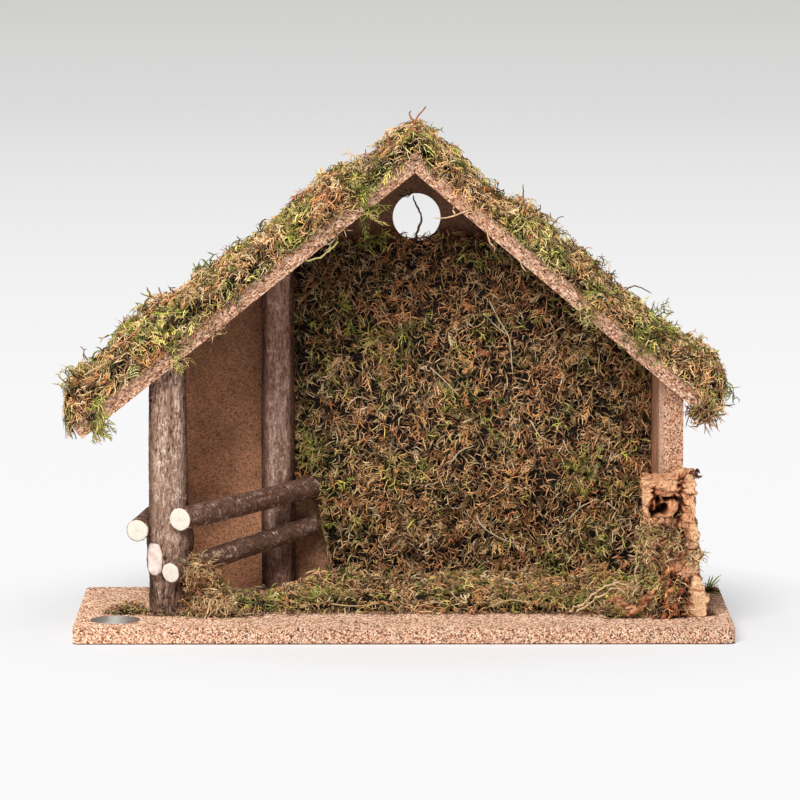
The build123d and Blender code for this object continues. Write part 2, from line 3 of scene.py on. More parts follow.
import bpy
import numpy as np
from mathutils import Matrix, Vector
from mathutils.bvhtree import BVHTree


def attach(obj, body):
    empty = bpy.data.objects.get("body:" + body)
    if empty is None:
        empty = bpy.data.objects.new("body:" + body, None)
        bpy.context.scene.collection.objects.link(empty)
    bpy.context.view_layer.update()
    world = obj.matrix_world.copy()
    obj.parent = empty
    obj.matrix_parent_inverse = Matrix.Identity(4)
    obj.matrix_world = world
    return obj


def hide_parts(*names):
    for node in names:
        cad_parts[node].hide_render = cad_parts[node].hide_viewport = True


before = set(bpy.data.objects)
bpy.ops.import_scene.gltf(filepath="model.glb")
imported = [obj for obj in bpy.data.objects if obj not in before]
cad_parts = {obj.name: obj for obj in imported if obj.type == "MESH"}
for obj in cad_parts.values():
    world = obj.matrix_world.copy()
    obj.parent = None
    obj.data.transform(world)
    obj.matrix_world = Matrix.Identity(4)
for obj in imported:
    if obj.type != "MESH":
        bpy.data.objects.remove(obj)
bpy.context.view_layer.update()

# Sizes in millimetres, in the frame of the solids
MM = 0.001
BASE_TOP = 10.0
BASE_LENGTH = 400.0
ROOF_FRONT = -40.0
PANEL_FRONT = 80.0
LINING_FACE = 156.2
RIDGE = np.array((6.7, 0.0, 281.7))
ROOF_THICKNESS = 10.0
LEFT_PITCH = math.radians(38.7)
RIGHT_PITCH = math.radians(40.2)
LEFT_SLOPE = 259.0
RIGHT_SLOPE = 227.5
FRONT_POST = (-143.9, -18.5)
BACK_POST = (-78.3, 69.5)
POST_GAP = 0.2
STICKER_X = -175.4
STICKER_RADIUS = 15.0
CORK_FRONT = -40.0
CORK_BACK = -14.1
CORK_TOP = 100.0
HOLLOW_LEFT = 149.5
HOLLOW_RIGHT = 178.0
HOLLOW_FLOOR = 42.0
SCAR_HALF_WIDTH = 6.0
SCAR_HALF_HEIGHT = 9.7
SCAR_MIDDLE = np.array((-152.4, -27.94, 44.0))
SCAR_OUT = np.array((-0.669, -0.743, 0.0))
SCAR_SIDE = np.array((0.743, -0.669, 0.0))

LEFT_DOWN = np.array((-math.cos(LEFT_PITCH), 0.0, -math.sin(LEFT_PITCH)))
LEFT_UP = np.array((-math.sin(LEFT_PITCH), 0.0, math.cos(LEFT_PITCH)))
RIGHT_DOWN = np.array((math.cos(RIGHT_PITCH), 0.0, -math.sin(RIGHT_PITCH)))
RIGHT_UP = np.array((math.sin(RIGHT_PITCH), 0.0, math.cos(RIGHT_PITCH)))


def srgb(red, green, blue):
    """Linear colour from screen values of 0 to 255."""
    values = []
    for value in (red, green, blue):
        share = value / 255
        values.append(share / 12.92 if share <= 0.04045 else ((share + 0.055) / 1.055) ** 2.4)
    return (*values, 1.0)


def palette(*tones):
    """Linear tints from rows of screen values."""
    return np.array([srgb(*tone)[:3] for tone in tones])


def post_top(x):
    """Height where a post ends under the left roof board."""
    return RIDGE[2] - (RIDGE[0] - x) * math.tan(LEFT_PITCH) - POST_GAP


def lattice(x, y, z, seed):
    """Repeatable values from 0 to 1 for whole-number points."""
    mixed = (x * 374761393 + y * 668265263 + z * 1442695041 + seed * 1274126177) & 0xFFFFFFFF
    mixed = ((mixed ^ (mixed >> 13)) * 1274126177) & 0xFFFFFFFF
    mixed = ((mixed ^ (mixed >> 15)) * 2246822519) & 0xFFFFFFFF
    return ((mixed ^ (mixed >> 16)) & 0xFFFF) / 65535.0


def noise(points, scale, seed):
    """Smooth noise from -1 to 1 with lumps about as wide as scale."""
    places = np.asarray(points, float) / scale
    low = np.floor(places).astype(np.int64)
    part = places - low
    part = part * part * (3 - 2 * part)
    total = np.zeros(len(places))
    for corner in np.ndindex(2, 2, 2):
        weight = np.abs(np.subtract(1, corner) - part)
        total += weight[:, 0] * weight[:, 1] * weight[:, 2] * lattice(*(low + corner).T, seed)
    return total * 2 - 1


def smooth_step(low, high, value):
    """0 at low, 1 at high and an even ramp between."""
    share = np.clip((value - low) / (high - low), 0, 1)
    return share * share * (3 - 2 * share)


def bell(value, width, power=2):
    """1 where a value is 0, fading out about a width away from it."""
    return np.exp(-((value / width) ** power))


def unit(vectors):
    """Vectors of length 1."""
    return vectors / np.linalg.norm(vectors, axis=-1, keepdims=True)


def piece(name, nodes, points, faces, materials, face_slots=None, values=None, colours=None, flat=None):
    """Mesh object from corner places in millimetres, riding on the stable, with what its material reads.

    Values and colours are those of the corners, and flat places lie on its map named OFBake.
    """
    mesh = bpy.data.meshes.new(name)
    faces = np.asarray(faces, np.int32)
    count, size = faces.shape
    mesh.vertices.add(len(points))
    mesh.vertices.foreach_set("co", (np.asarray(points) * MM).astype(np.float32).ravel())
    mesh.loops.add(count * size)
    mesh.loops.foreach_set("vertex_index", faces.ravel())
    mesh.polygons.add(count)
    mesh.polygons.foreach_set("loop_start", np.arange(0, count * size, size, dtype=np.int32))
    mesh.polygons.foreach_set("loop_total", np.full(count, size, np.int32))
    mesh.polygons.foreach_set("use_smooth", np.ones(count, bool))
    for material in materials:
        mesh.materials.append(material)
    if face_slots is not None:
        mesh.polygons.foreach_set("material_index", np.asarray(face_slots, np.int32))
    if values is not None:
        relief = mesh.attributes.new("relief", "FLOAT", "POINT")
        relief.data.foreach_set("value", np.asarray(values, np.float32))
    if colours is not None:
        tint = np.ones((len(points), 4), np.float32)
        tint[:, :3] = colours
        mesh.attributes.new("tint", "FLOAT_COLOR", "POINT").data.foreach_set("color", tint.ravel())
    if flat is not None:
        mesh.uv_layers.new(name="OFBake").data.foreach_set("uv", np.asarray(flat, np.float32).ravel())
    mesh.update()
    mesh.validate()
    made = bpy.data.objects.new(name, mesh)
    bpy.context.scene.collection.objects.link(made)
    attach(made, "root")
    if nodes:
        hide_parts(*nodes)


class Shader:
    """A material under construction."""

    def __init__(self, name, roughness, specular=0.3):
        self.material = bpy.data.materials.new(name)
        self.material.use_nodes = True
        self.tree = self.material.node_tree
        self.surface = self.tree.nodes["Principled BSDF"]
        self.surface.inputs["Roughness"].default_value = roughness
        self.surface.inputs["Specular IOR Level"].default_value = specular

    def add(self, kind, inputs, **settings):
        """Outputs of a new node. Each input is a socket to join or a plain value."""
        made = self.tree.nodes.new("ShaderNode" + kind)
        for setting, value in settings.items():
            setattr(made, setting, value)
        for key, source in inputs.items():
            if isinstance(source, bpy.types.NodeSocket):
                self.tree.links.new(source, made.inputs[key])
            else:
                made.inputs[key].default_value = source
        return made.outputs

    def places(self, stretch=(1, 1, 1), turn=(0, 0, 0)):
        """Places on the object in metres, turned and then stretched."""
        raw = self.add("TexCoord", {})["Object"]
        turned = self.add("Mapping", {"Vector": raw, "Rotation": turn})["Vector"]
        return self.add("VectorMath", {0: turned, 1: stretch}, operation="MULTIPLY")["Vector"]

    def axis(self, vector, letter):
        """One of a vector's three numbers."""
        return self.add("SeparateXYZ", {"Vector": vector})[letter]

    def facing(self, letter):
        """How far the surface faces along an axis."""
        return self.axis(self.add("NewGeometry", {})["True Normal"], letter)

    def noise(self, places, width, detail=3.0, roughness=0.55):
        """Noise from 0 to 1 with lumps of about this width in millimetres."""
        inputs = {"Vector": places, "Scale": 1 / (width * MM), "Detail": detail, "Roughness": roughness}
        return self.add("TexNoise", inputs)["Fac"]

    def cells(self, places, width):
        """Grains of about this width in millimetres: distance from the middle and a random number of each."""
        made = self.add("TexVoronoi", {"Vector": places, "Scale": 1 / (width * MM)})
        return made["Distance"], self.add("SeparateColor", {"Color": made["Color"]})["Red"]

    def carried(self, name, output="Fac"):
        """A number or a colour that the mesh carries."""
        return self.add("Attribute", {}, attribute_name=name)[output]

    def ramp(self, value, *stops):
        """Colours or greys along a value, as (place, colour) stops."""
        made = self.add("ValToRGB", {"Fac": value})["Color"]
        elements = made.node.color_ramp.elements
        while len(elements) < len(stops):
            elements.new(0.5)
        for element, (place, colour) in zip(elements, stops):
            element.position = place
            element.color = colour if isinstance(colour, tuple) else (colour, colour, colour, 1)
        return made

    def mix(self, share, first, second, blend="MIX"):
        """Mixes two colours, each a socket or a plain colour."""
        return self.add("Mix", {0: share, 6: first, 7: second}, data_type="RGBA", blend_type=blend)[2]

    def shaded(self, colour, *shades):
        """A colour multiplied by shades, one after another."""
        for shade in shades:
            colour = self.mix(1.0, colour, shade, "MULTIPLY")
        return colour

    def math(self, operation, first, second=0.0):
        """Result of an operation on numbers, each a socket or a plain value."""
        return self.add("Math", {0: first, 1: second}, operation=operation)["Value"]

    def finished(self, colour, height=None, depth=0.0, strength=1.0):
        """The material with its colour and a bump of about this depth in millimetres."""
        self.tree.links.new(colour, self.surface.inputs["Base Color"])
        if height is not None:
            bump = self.add("Bump", {"Strength": strength, "Distance": depth * MM, "Height": height})
            self.tree.links.new(bump["Normal"], self.surface.inputs["Normal"])
        return self.material


def granular_board():
    """Pressed light and dark grains, painted shade between them, painted light on its edges and left end."""
    made = Shader("granular_board", 0.85)
    made.surface.inputs["Diffuse Roughness"].default_value = 1.0
    places = made.places((1, 0.5, 1))
    distance, pick = made.cells(places, 0.8)
    # Painted light and shade: the edges and the top face get separate tones to suit how light falls on each.
    edge = made.ramp(
        pick,
        (0.0, srgb(82, 42, 30)),
        (0.16, srgb(162, 102, 74)),
        (0.36, srgb(222, 170, 135)),
        (0.75, srgb(244, 204, 172)),
        (1.0, srgb(255, 238, 216)),
    )
    upper = made.ramp(
        pick,
        (0.0, srgb(84, 44, 31)),
        (0.2, srgb(160, 102, 75)),
        (0.42, srgb(214, 163, 130)),
        (0.75, srgb(238, 197, 165)),
        (1.0, srgb(254, 232, 208)),
    )
    colour = made.mix(made.math("GREATER_THAN", made.facing("Z"), 0.7), edge, upper)
    # Painted shade in the gaps between grains.
    gap = made.ramp(distance, (0.44, 1.0), (0.78, 0.54))
    blotch = made.ramp(made.noise(places, 14.0), (0.3, 0.92), (0.7, 1.04))
    colour = made.shaded(colour, gap, blotch)
    speck_distance, speck_pick = made.cells(places, 1.7)
    small = made.ramp(speck_distance, (0.2, 1.0), (0.3, 0.0))
    chosen = made.ramp(speck_pick, (0.3, 1.0), (0.34, 0.0))
    colour = made.mix(made.math("MULTIPLY", small, chosen), colour, srgb(88, 46, 32))
    # Painted light: paler towards the left end of the board.
    across = made.math("ADD", made.axis(places, "X"), BASE_LENGTH * MM / 2)
    across = made.math("MULTIPLY", across, 1 / (BASE_LENGTH * MM))
    colour = made.shaded(colour, made.ramp(across, (0.0, 1.2), (0.32, 1.0)))
    # Painted contact shadow: a dark line along the foot of the board.
    foot = made.ramp(made.math("MULTIPLY", made.axis(places, "Z"), 1 / MM), (0.45, 0.9), (0.95, 0.0))
    colour = made.mix(foot, colour, srgb(84, 52, 44))
    rough = made.ramp(distance, (0.3, 0.75), (0.8, 0.95))
    made.tree.links.new(rough, made.surface.inputs["Roughness"])
    return made.finished(colour, made.ramp(distance, (0.1, 1.0), (0.8, 0.0)), 0.3, 0.6)


def chipboard(name, turn, stretch, light=1.0):
    """Raw board edge: reddish chips that lie along the board, with dark specks."""
    made = Shader(name, 0.85)
    along = made.places((stretch, 1, 1), (0, turn, 0))
    distance, pick = made.cells(along, 0.8)
    chips = made.ramp(
        pick,
        (0.0, srgb(130, 76, 52)),
        (0.15, srgb(188, 130, 98)),
        (0.5, srgb(216, 164, 130)),
        (1.0, srgb(246, 210, 180)),
    )
    # Painted shade in the gaps between chips.
    gap = made.ramp(distance, (0.4, 1.0), (0.8, 0.55))
    streak = made.ramp(made.noise(along, 2.2, 5.0, 0.65), (0.3, 0.8), (0.65, 1.08))
    colour = made.shaded(chips, gap, streak, (light, light, light, 1.0))
    speck = made.ramp(made.noise(made.places(), 1.1, 1.0), (0.61, 0.0), (0.64, 0.95))
    colour = made.mix(speck, colour, srgb(66, 36, 25))
    return made.finished(colour, made.ramp(distance, (0.1, 1.0), (0.8, 0.0)), 0.3, 0.8)


def hardboard(name, tone, edge_tone, fade=1.0, post_shadow=False):
    """Brown fibre board with dark specks. Fade is its brightness under a painted roof shadow high up.

    An edge tone is that of its cut edges. The last flag adds a painted shadow, darkening its front right of
    the back post, beside the moss.
    """
    made = Shader(name, 0.7)
    places = made.places()
    fibre = made.ramp(made.cells(places, 0.9)[1], (0.0, 0.56), (0.4, 0.95), (1.0, 1.28))
    cloud = made.ramp(made.noise(places, 1.8, 6.0, 0.75), (0.3, 0.8), (0.7, 1.18))
    stain = made.ramp(made.noise(places, 22.0, 5.0, 0.6), (0.34, 0.7), (0.56, 1.05))
    # Painted roof shadow: darker towards the top, down to fade.
    height = made.math("MULTIPLY", made.axis(places, "Z"), 1 / 0.3)
    colour = made.shaded(tone, fibre, cloud, stain, made.ramp(height, (0.28, 1.0), (0.58, fade)))
    speck = made.ramp(made.noise(places, 1.1, 1.0), (0.61, 0.0), (0.66, 0.62))
    colour = made.mix(speck, colour, srgb(62, 38, 25))
    facing = made.facing("Y")
    # Painted shadow on the front, right of the back post.
    if post_shadow:
        across = made.math("MULTIPLY", made.math("ADD", made.axis(places, "X"), 0.1), 10.0)
        dark = made.shaded(colour, made.ramp(across, (0.26, 1.0), (0.42, 0.62)))
        colour = made.mix(made.math("LESS_THAN", facing, -0.5), colour, dark)
    if edge_tone:
        edge = made.math("GREATER_THAN", made.math("ABSOLUTE", facing), 0.5)
        colour = made.mix(edge, colour, made.shaded(edge_tone, fibre))
    return made.finished(colour, made.noise(places, 1.2, 4.0, 0.7), 0.12)


def bark(name, deep, middle, high, patch_tone, stretch):
    """Bark whose grooves are dark and ridges pale, with fine grain stretched along the log."""
    made = Shader(name, 0.9, 0.2)
    along = made.places(stretch)
    tones = zip((0.05, 0.45, 0.95), (srgb(*deep), srgb(*middle), srgb(*high)))
    colour = made.ramp(made.carried("relief"), *tones)
    fine = made.ramp(made.noise(along, 0.75, 4.0, 0.75), (0.35, 0.34), (0.65, 1.56))
    patch = made.ramp(made.noise(made.places(), 9.0), (0.45, 0.0), (0.68, 0.45))
    colour = made.mix(patch, made.shaded(colour, fine), srgb(*patch_tone))
    return made.finished(colour, made.noise(along, 0.8, 5.0, 0.75), 0.35)


def cut_wood():
    """Pale sawn wood with faint rings and saw marks."""
    made = Shader("cut_wood", 0.75)
    places = made.places()
    reach = made.carried("relief")
    ring = made.math("SINE", made.math("MULTIPLY", reach, 40.0))
    ring = made.math("ADD", made.math("MULTIPLY", ring, 0.5), 0.5)
    colour = made.ramp(ring, (0.0, srgb(226, 214, 196)), (1.0, srgb(242, 234, 220)))
    heart = made.ramp(reach, (0.04, 0.7), (0.3, 0.0))
    colour = made.mix(heart, colour, srgb(228, 200, 164))
    stain = made.ramp(made.noise(places, 3.0, 4.0), (0.35, 0.9), (0.65, 1.0))
    return made.finished(made.shaded(colour, stain), made.noise(places, 0.7), 0.15)


def scar_wood():
    """Pinkish sawn wood, paler in the middle, with faint stains."""
    made = Shader("scar_wood", 0.7)
    places = made.places()
    tone = made.ramp(made.carried("relief"), (0.3, srgb(253, 245, 236)), (1.0, srgb(244, 226, 214)))
    stain = made.ramp(made.noise(places, 5.0, 4.0), (0.35, srgb(226, 211, 205)), (0.62, 1.0))
    return made.finished(made.shaded(tone, stain), made.noise(places, 0.8), 0.12)


def cork_bark():
    """Cork: orange tan grains with dark pits, darker in the cracks."""
    made = Shader("cork", 0.9, 0.2)
    places = made.places()
    colour = made.ramp(
        made.carried("relief"),
        (0.05, srgb(44, 24, 15)),
        (0.3, srgb(150, 88, 54)),
        (0.55, srgb(226, 161, 117)),
        (1.0, srgb(254, 206, 160)),
    )
    tone = made.ramp(made.cells(places, 1.0)[1], (0.0, 0.58), (0.3, 0.94), (1.0, 1.14))
    crumb = made.ramp(made.noise(places, 2.4, 5.0, 0.7), (0.32, 0.66), (0.66, 1.16))
    speck = made.ramp(made.noise(places, 1.1, 2.0), (0.58, 0.0), (0.64, 0.85))
    colour = made.mix(speck, made.shaded(colour, tone, crumb), srgb(110, 60, 38))
    return made.finished(colour, made.noise(places, 0.9, 5.0, 0.75), 0.45)


def moss():
    """Dried moss strands: each has its own tint, with fine mottling."""
    made = Shader("moss", 0.8, 0.25)
    mottle = made.ramp(made.noise(made.places(), 0.9), (0.25, 0.7), (0.75, 1.25))
    return made.finished(made.shaded(made.carried("tint", "Color"), mottle))


def silver_foil():
    """Blank silver-grey paper sticker with a slight crinkle and a painted highlight across its middle."""
    made = Shader("silver_foil", 0.35, 0.5)
    places = made.places()
    # Painted highlight across the middle, fading to a darker painted reflection at both ends.
    across = made.math("ADD", made.axis(places, "X"), -STICKER_X * MM)
    across = made.math("ABSOLUTE", made.math("MULTIPLY", across, 1 / (STICKER_RADIUS * MM)))
    reach = made.math("ADD", across, made.math("MULTIPLY", made.noise(places, 6.0, 4.0), 0.7))
    colour = made.ramp(
        made.math("MULTIPLY", reach, 0.6),
        (0.25, srgb(222, 218, 212)),
        (0.5, srgb(150, 142, 132)),
        (0.9, srgb(92, 84, 75)),
    )
    return made.finished(colour, made.noise(places, 3.0), 0.15)


def nail_steel():
    """Drawn wire, a little dull."""
    made = Shader("nail_steel", 0.4, 0.5)
    made.surface.inputs["Metallic"].default_value = 1.0
    places = made.places()
    colour = made.ramp(made.noise(places, 0.8, 4.0), (0.3, srgb(128, 128, 130)), (0.7, srgb(190, 190, 192)))
    return made.finished(colour, made.noise(places, 0.3, 2.0), 0.03)


def dress(material, *nodes):
    """Gives solids their material."""
    for node in nodes:
        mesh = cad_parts[node].data
        mesh.materials.clear()
        mesh.materials.append(material)


dress(granular_board(), "base_board")
dress(hardboard("hardboard", srgb(202, 144, 106), None, 0.5, True), "back_panel")
dress(hardboard("lining_board", srgb(206, 150, 118), srgb(184, 148, 124)), "right_wall_lining")
dress(chipboard("wall_chipboard", math.radians(90), 0.95, 1.13), "right_wall_board")
dress(chipboard("left_chipboard", LEFT_PITCH, 0.5), "left_roof_board")
dress(chipboard("right_chipboard", -RIGHT_PITCH, 0.55), "right_roof_board")
dress(silver_foil(), "round_sticker")
dress(nail_steel(), "base_nails", "roof_nails", "panel_brads")


def turns(count):
    """Even angles round a circle."""
    return 2 * np.pi * np.arange(count) / count


def closed_tube(rings):
    """Corners, triangles and map places of rings of places, joined and closed by a fan at each end."""
    rings = np.asarray(rings)
    count, around = rings.shape[:2]
    row, column = np.indices((count - 1, around)).reshape(2, -1)
    near = row * around + column
    near_after = row * around + (column + 1) % around
    sides = [
        np.column_stack((near, near_after, near_after + around)),
        np.column_stack((near, near_after + around, near + around)),
    ]
    spokes = np.arange(around)
    spokes_after = (spokes + 1) % around
    middle = np.full(around, count * around)
    last = (count - 1) * around
    fans = [
        np.column_stack((middle, spokes_after, spokes)),
        np.column_stack((middle + 1, last + spokes, last + spokes_after)),
    ]
    low_left = np.column_stack((column / around, row / count))
    low_right = np.column_stack(((column + 1) / around, row / count))
    high_right = np.column_stack(((column + 1) / around, (row + 1) / count))
    high_left = np.column_stack((column / around, (row + 1) / count))
    fan_flat = np.zeros((2 * around, 3, 2))
    fan_flat[:, :, 1] = 1 - 1 / count
    fan_flat[:, 0] += (0.01, 0.01)
    fan_flat[:, 2] += (0.02, 0.0)
    flat = [np.stack((low_left, low_right, high_right), 1), np.stack((low_left, high_right, high_left), 1)]
    points = np.vstack((rings.reshape(-1, 3), rings[0].mean(0), rings[-1].mean(0)))
    return points, np.vstack(sides + fans), np.vstack(flat + [fan_flat])


CAP_SHARES = (0.04, 0.25, 0.5, 0.72, 0.93)
BEVEL = 0.35
FISSURE_WIDTH = 1.3


def log_piece(name, slot, node, ends, corners, skin, radius_at, relief_at, top=None, seats=(), bow=0, slant=0):
    """Barked stick with two sawn ends, its relief read from relief_at(places round and along it).

    Corners are their numbers round and along the stick. A top gives the height where it ends at each x.
    Seats are (x, y, radius) of posts that it is cut to fit. Bow is its bend and slant the slope of its
    first cut.
    """
    start, end = np.array(ends, float)
    around, along = corners
    length = np.linalg.norm(end - start)
    way = (end - start) / length
    side = np.array((1.0, 0.0, 0.0)) if top else unit(np.cross(way, (0, 0, 1)))
    turn = turns(around)
    out = np.cos(turn)[:, None] * side + np.sin(turn)[:, None] * np.cross(way, side)

    def ring(share, pull, lift):
        """Places and shade of one ring: share along, share of the radius and lift along in millimetres."""
        run = np.full(around, share * length)
        if top:
            reach = start + out * radius_at(share * length)
            run = share * (top(reach[:, 0]) - start[2])
        radius = radius_at(run)
        run = run + slant * radius * pull * np.cos(turn) * (1 - share) ** 8
        relief, value = relief_at(np.column_stack((radius * np.cos(turn), radius * np.sin(turn), run)))
        bend = bow * math.sin(math.pi * share) * side
        places = start + bend + way * (run + lift)[:, None] + out * ((radius + relief) * pull)[:, None]
        if pull < 1:
            value = pull + 0.04 * noise(places, 3.0, 5)
        return places, value

    lifts = [BEVEL] + [0.0] * (along - 2) + [-BEVEL]
    rows = [(0.0, pull, 0.0) for pull in CAP_SHARES]
    rows += [(share, 1.0, lift) for share, lift in zip(np.linspace(0, 1, along), lifts)]
    rows += [(1.0, pull, 0.0) for pull in CAP_SHARES[::-1]]
    rings, values = zip(*[ring(*row) for row in rows])
    points, faces, flat = closed_tube(rings)
    for x, y, radius in seats:
        offset = points[:, :2] - (x, y)
        distance = np.linalg.norm(offset, axis=1)
        inside = distance < radius
        points[inside, :2] = (x, y) + offset[inside] * (radius / distance[inside])[:, None]
    cut_rows = len(CAP_SHARES) - 1
    sawn = np.ones(len(rows) - 1, int)
    sawn[cut_rows:-cut_rows] = 0
    face_slots = np.append(np.tile(np.repeat(sawn, around), 2), np.ones(2 * around, int))
    values = np.concatenate((*values, np.zeros(2)))
    piece(name, (node,), points, faces, (skin, sawn_wood), face_slots, values, flat=flat)


def post_relief(local, seed, depth, fissured):
    """Relief and shade of a post's bark: upright fissures between rough plates."""
    line = noise(local * (1, 1, 1 / 7), FISSURE_WIDTH, seed)
    line += 0.35 * noise(local * (1, 1, 0.4), 0.6 * FISSURE_WIDTH, seed + 6)
    fissure = bell(line, 0.13)
    fissure *= 0.35 + 0.65 * smooth_step(-0.4, 0.3, noise(local * (1, 1, 0.3), 7.0, seed + 1))
    notch = bell(noise(local * (0.6, 0.6, 1.2), 3.2, seed + 7), 0.1)
    plate = noise(local * (1, 1, 0.15), 3.4, seed + 2)
    crumb = noise(local * (1, 1, 0.25), 0.9, seed + 3)
    wave = noise(local * (1, 1, 0.6), 22.0, seed + 4)
    pale = smooth_step(0.62, 0.76, noise(local * (0.4, 0.4, 2.0), 2.0, seed + 5))
    relief = depth * (0.25 + 0.35 * plate + 0.25 * crumb - 0.9 * fissure - 0.25 * notch) + 0.6 * wave
    value = 0.58 + 0.14 * plate + 0.24 * crumb + 0.26 * pale - fissured * (0.52 * fissure + 0.14 * notch)
    # Painted shade: both posts darker on their left and right sides as seen from the front.
    rough = smooth_step(0.62, 0.94, np.abs(local[:, 0]) / np.hypot(local[:, 0], local[:, 1]))
    value -= 0.42 * rough * (0.8 + 0.9 * crumb)
    value -= 0.24 * smooth_step(36, 16, local[:, 2])
    return relief, np.clip(value, 0, 1)


def front_post_relief(local):
    """Bark of the front post, swelling to a collar round the cut branch and flat behind the cut."""
    relief, value = post_relief(local, 11, 0.85, 0.8)
    places = local + (*FRONT_POST, BASE_TOP)
    offset = places - SCAR_MIDDLE
    reach = np.hypot(offset @ SCAR_SIDE / SCAR_HALF_WIDTH, offset[:, 2] / SCAR_HALF_HEIGHT)
    facing = (local @ SCAR_OUT) > 0
    out = unit(local * (1, 1, 0))
    to_plane = (SCAR_MIDDLE - places) @ SCAR_OUT / np.maximum(out @ SCAR_OUT, 0.3)
    collar = facing * (1 - smooth_step(1.08, 1.7, reach))
    lip = facing * bell(reach - 1.2, 0.13)
    right = 1.6 * bell(local[:, 2] - 46.0, 11.0) * np.clip(out[:, 0], 0, 1)
    left = 1.4 * bell(local[:, 2] - 36.0, 13.0) * smooth_step(0.85, 1.0, -out[:, 0])
    relief = relief * (1 - 0.7 * collar) + collar * np.clip(to_plane - 0.9, -5, 6)
    return relief + 0.6 * lip + right - left, np.clip(value - 0.2 * collar + 0.1 * lip, 0, 1)


def back_post_relief(local):
    """Bark of the back post: a painted highlight, paler up its front, with painted shade on its sides."""
    relief, value = post_relief(local, 31, 0.25, 0.5)
    turned = local[:, 0] / np.hypot(local[:, 0], local[:, 1]) + 0.05 * noise(local * (0, 0, 1), 30.0, 38)
    # Painted highlight up the front of the post.
    painted_front_light = smooth_step(-0.66, -0.56, turned) * smooth_step(0.78, 0.68, turned)
    return relief, np.clip(value + 0.18 * painted_front_light - 0.12, 0, 1)


def rail_relief(seed):
    """Relief and shade of a rail's bark: fine wrinkles, small knots and thin pale flecks across it."""

    def relief_at(local):
        wrinkle = noise(local * (1, 1, 0.4), 2.0, seed)
        crumb = noise(local, 0.9, seed + 1)
        wave = noise(local * (1, 1, 0.5), 14.0, seed + 2)
        fleck = smooth_step(0.68, 0.78, noise(local * (0.42, 0.42, 2.0), 1.9, seed + 3))
        relief = 0.18 * wrinkle + 0.14 * crumb + 0.45 * wave + 0.12 * fleck
        return relief, np.clip(0.4 + 0.15 * wrinkle + 0.24 * crumb + 0.55 * fleck, 0, 1)

    return relief_at


def front_radius(run):
    """Radius of the front post at a height: a taper and the swelling at the old branch."""
    middle = 0.6 * np.sin(np.pi * np.clip(run / 150, 0, 1))
    return 11.7 - 0.6 * run / 160 + middle + 1.9 * bell(run - 43.0, 12.0)


def taper(radius, loss, length):
    """Radius along a stick that loses a share of it over a length."""
    return lambda run: radius * (1 - loss * run / length)


def post_ends(x, y):
    """Foot and head of a post's middle line."""
    return (x, y, BASE_TOP + POST_GAP), (x, y, post_top(x) + POST_GAP)


back_radius = taper(10.5, 0.05, 205)
sawn_wood = cut_wood()
front_tones = ((56, 39, 31), (158, 125, 106), (234, 208, 190), (134, 98, 79))
back_tones = ((66, 46, 38), (140, 104, 88), (208, 178, 160), (128, 92, 76))
rail_tones = ((50, 34, 29), (124, 91, 75), (228, 206, 190), (98, 68, 55))
front_bark = bark("post_bark", *front_tones, (1, 1, 0.4))
back_bark = bark("back_bark", *back_tones, (1, 1, 0.4))
rail_bark = bark("rail_bark", *rail_tones, (1, 1, 1))

# Posts as name, node, middle, corners round and along, bark, radius and relief
POSTS = (
    ("front_post", "front_left_post", FRONT_POST, (180, 230), front_bark, front_radius, front_post_relief),
    ("back_post", "back_left_post", BACK_POST, (120, 220), back_bark, back_radius, back_post_relief),
)
for name, node, middle, *look in POSTS:
    log_piece(name, "post_bark", node, post_ends(*middle), *look, post_top)

# Rails as name, node, ends, corners round and along, radius, length, seed, seats' radii, bow and slant
UPPER_ENDS = ((-136.4, -38.02, 70.1), (-54.78, 74.4, 75.29))
LOWER_ENDS = ((-141.9, -45.42, 38.5), (-57.73, 71.31, 50.1))
SIDE_ENDS = ((-162.6, -33.53, 62.6), (-148.9, 79.8, 63.0))
RAILS = (
    ("upper_rail", "upper_right_rail", UPPER_ENDS, (84, 180), 6.95, 138, 51, (12.3, 10.3), 1.0, 0.2),
    ("lower_rail", "lower_right_rail", LOWER_ENDS, (80, 180), 6.3, 143, 71, (12.8, 10.3), -0.8, 0.12),
    ("side_rail", "left_side_rail", SIDE_ENDS, (80, 150), 6.6, 114, 91, (13.1,), 0, 0),
)
for name, node, ends, corners, radius, length, seed, seat_radii, bow, slant in RAILS:
    seats = [(*post, seat) for post, seat in zip((FRONT_POST, BACK_POST), seat_radii)]
    thinning = taper(radius, 0.03, length)
    relief = rail_relief(seed)
    log_piece(name, "rail_bark", node, ends, corners, rail_bark, thinning, relief, None, seats, bow, slant)


def scar_piece():
    """Flush-cut branch: a slightly dished oval of pinkish wood inside the collar."""
    turn = turns(64)
    shares = (0.05, 0.3, 0.55, 0.8, 0.97, 1.02, 0.9)
    depths = (-0.35, -0.3, -0.2, -0.05, 0.0, -0.5, -2.2)
    rings = []
    for share, depth in zip(shares, depths):
        wavy = share * (1 + 0.025 * np.sin(3 * turn + 2.0) + 0.02 * np.sin(7 * turn))
        across = np.sign(np.cos(turn)) * np.abs(np.cos(turn)) ** 0.62 * SCAR_HALF_WIDTH * wavy
        tall = np.sign(np.sin(turn)) * np.abs(np.sin(turn)) ** 0.8 * SCAR_HALF_HEIGHT * wavy
        flat = np.outer(across, SCAR_SIDE) + np.outer(tall, (0, 0, 1))
        rings.append(SCAR_MIDDLE + flat + SCAR_OUT * (0.1 + depth))
    points, faces, _ = closed_tube(rings)
    values = np.concatenate((np.repeat(shares, len(turn)), (0.0, 0.0)))
    piece("branch_scar", (), points, faces, (scar_wood(),), values=values)


scar_piece()


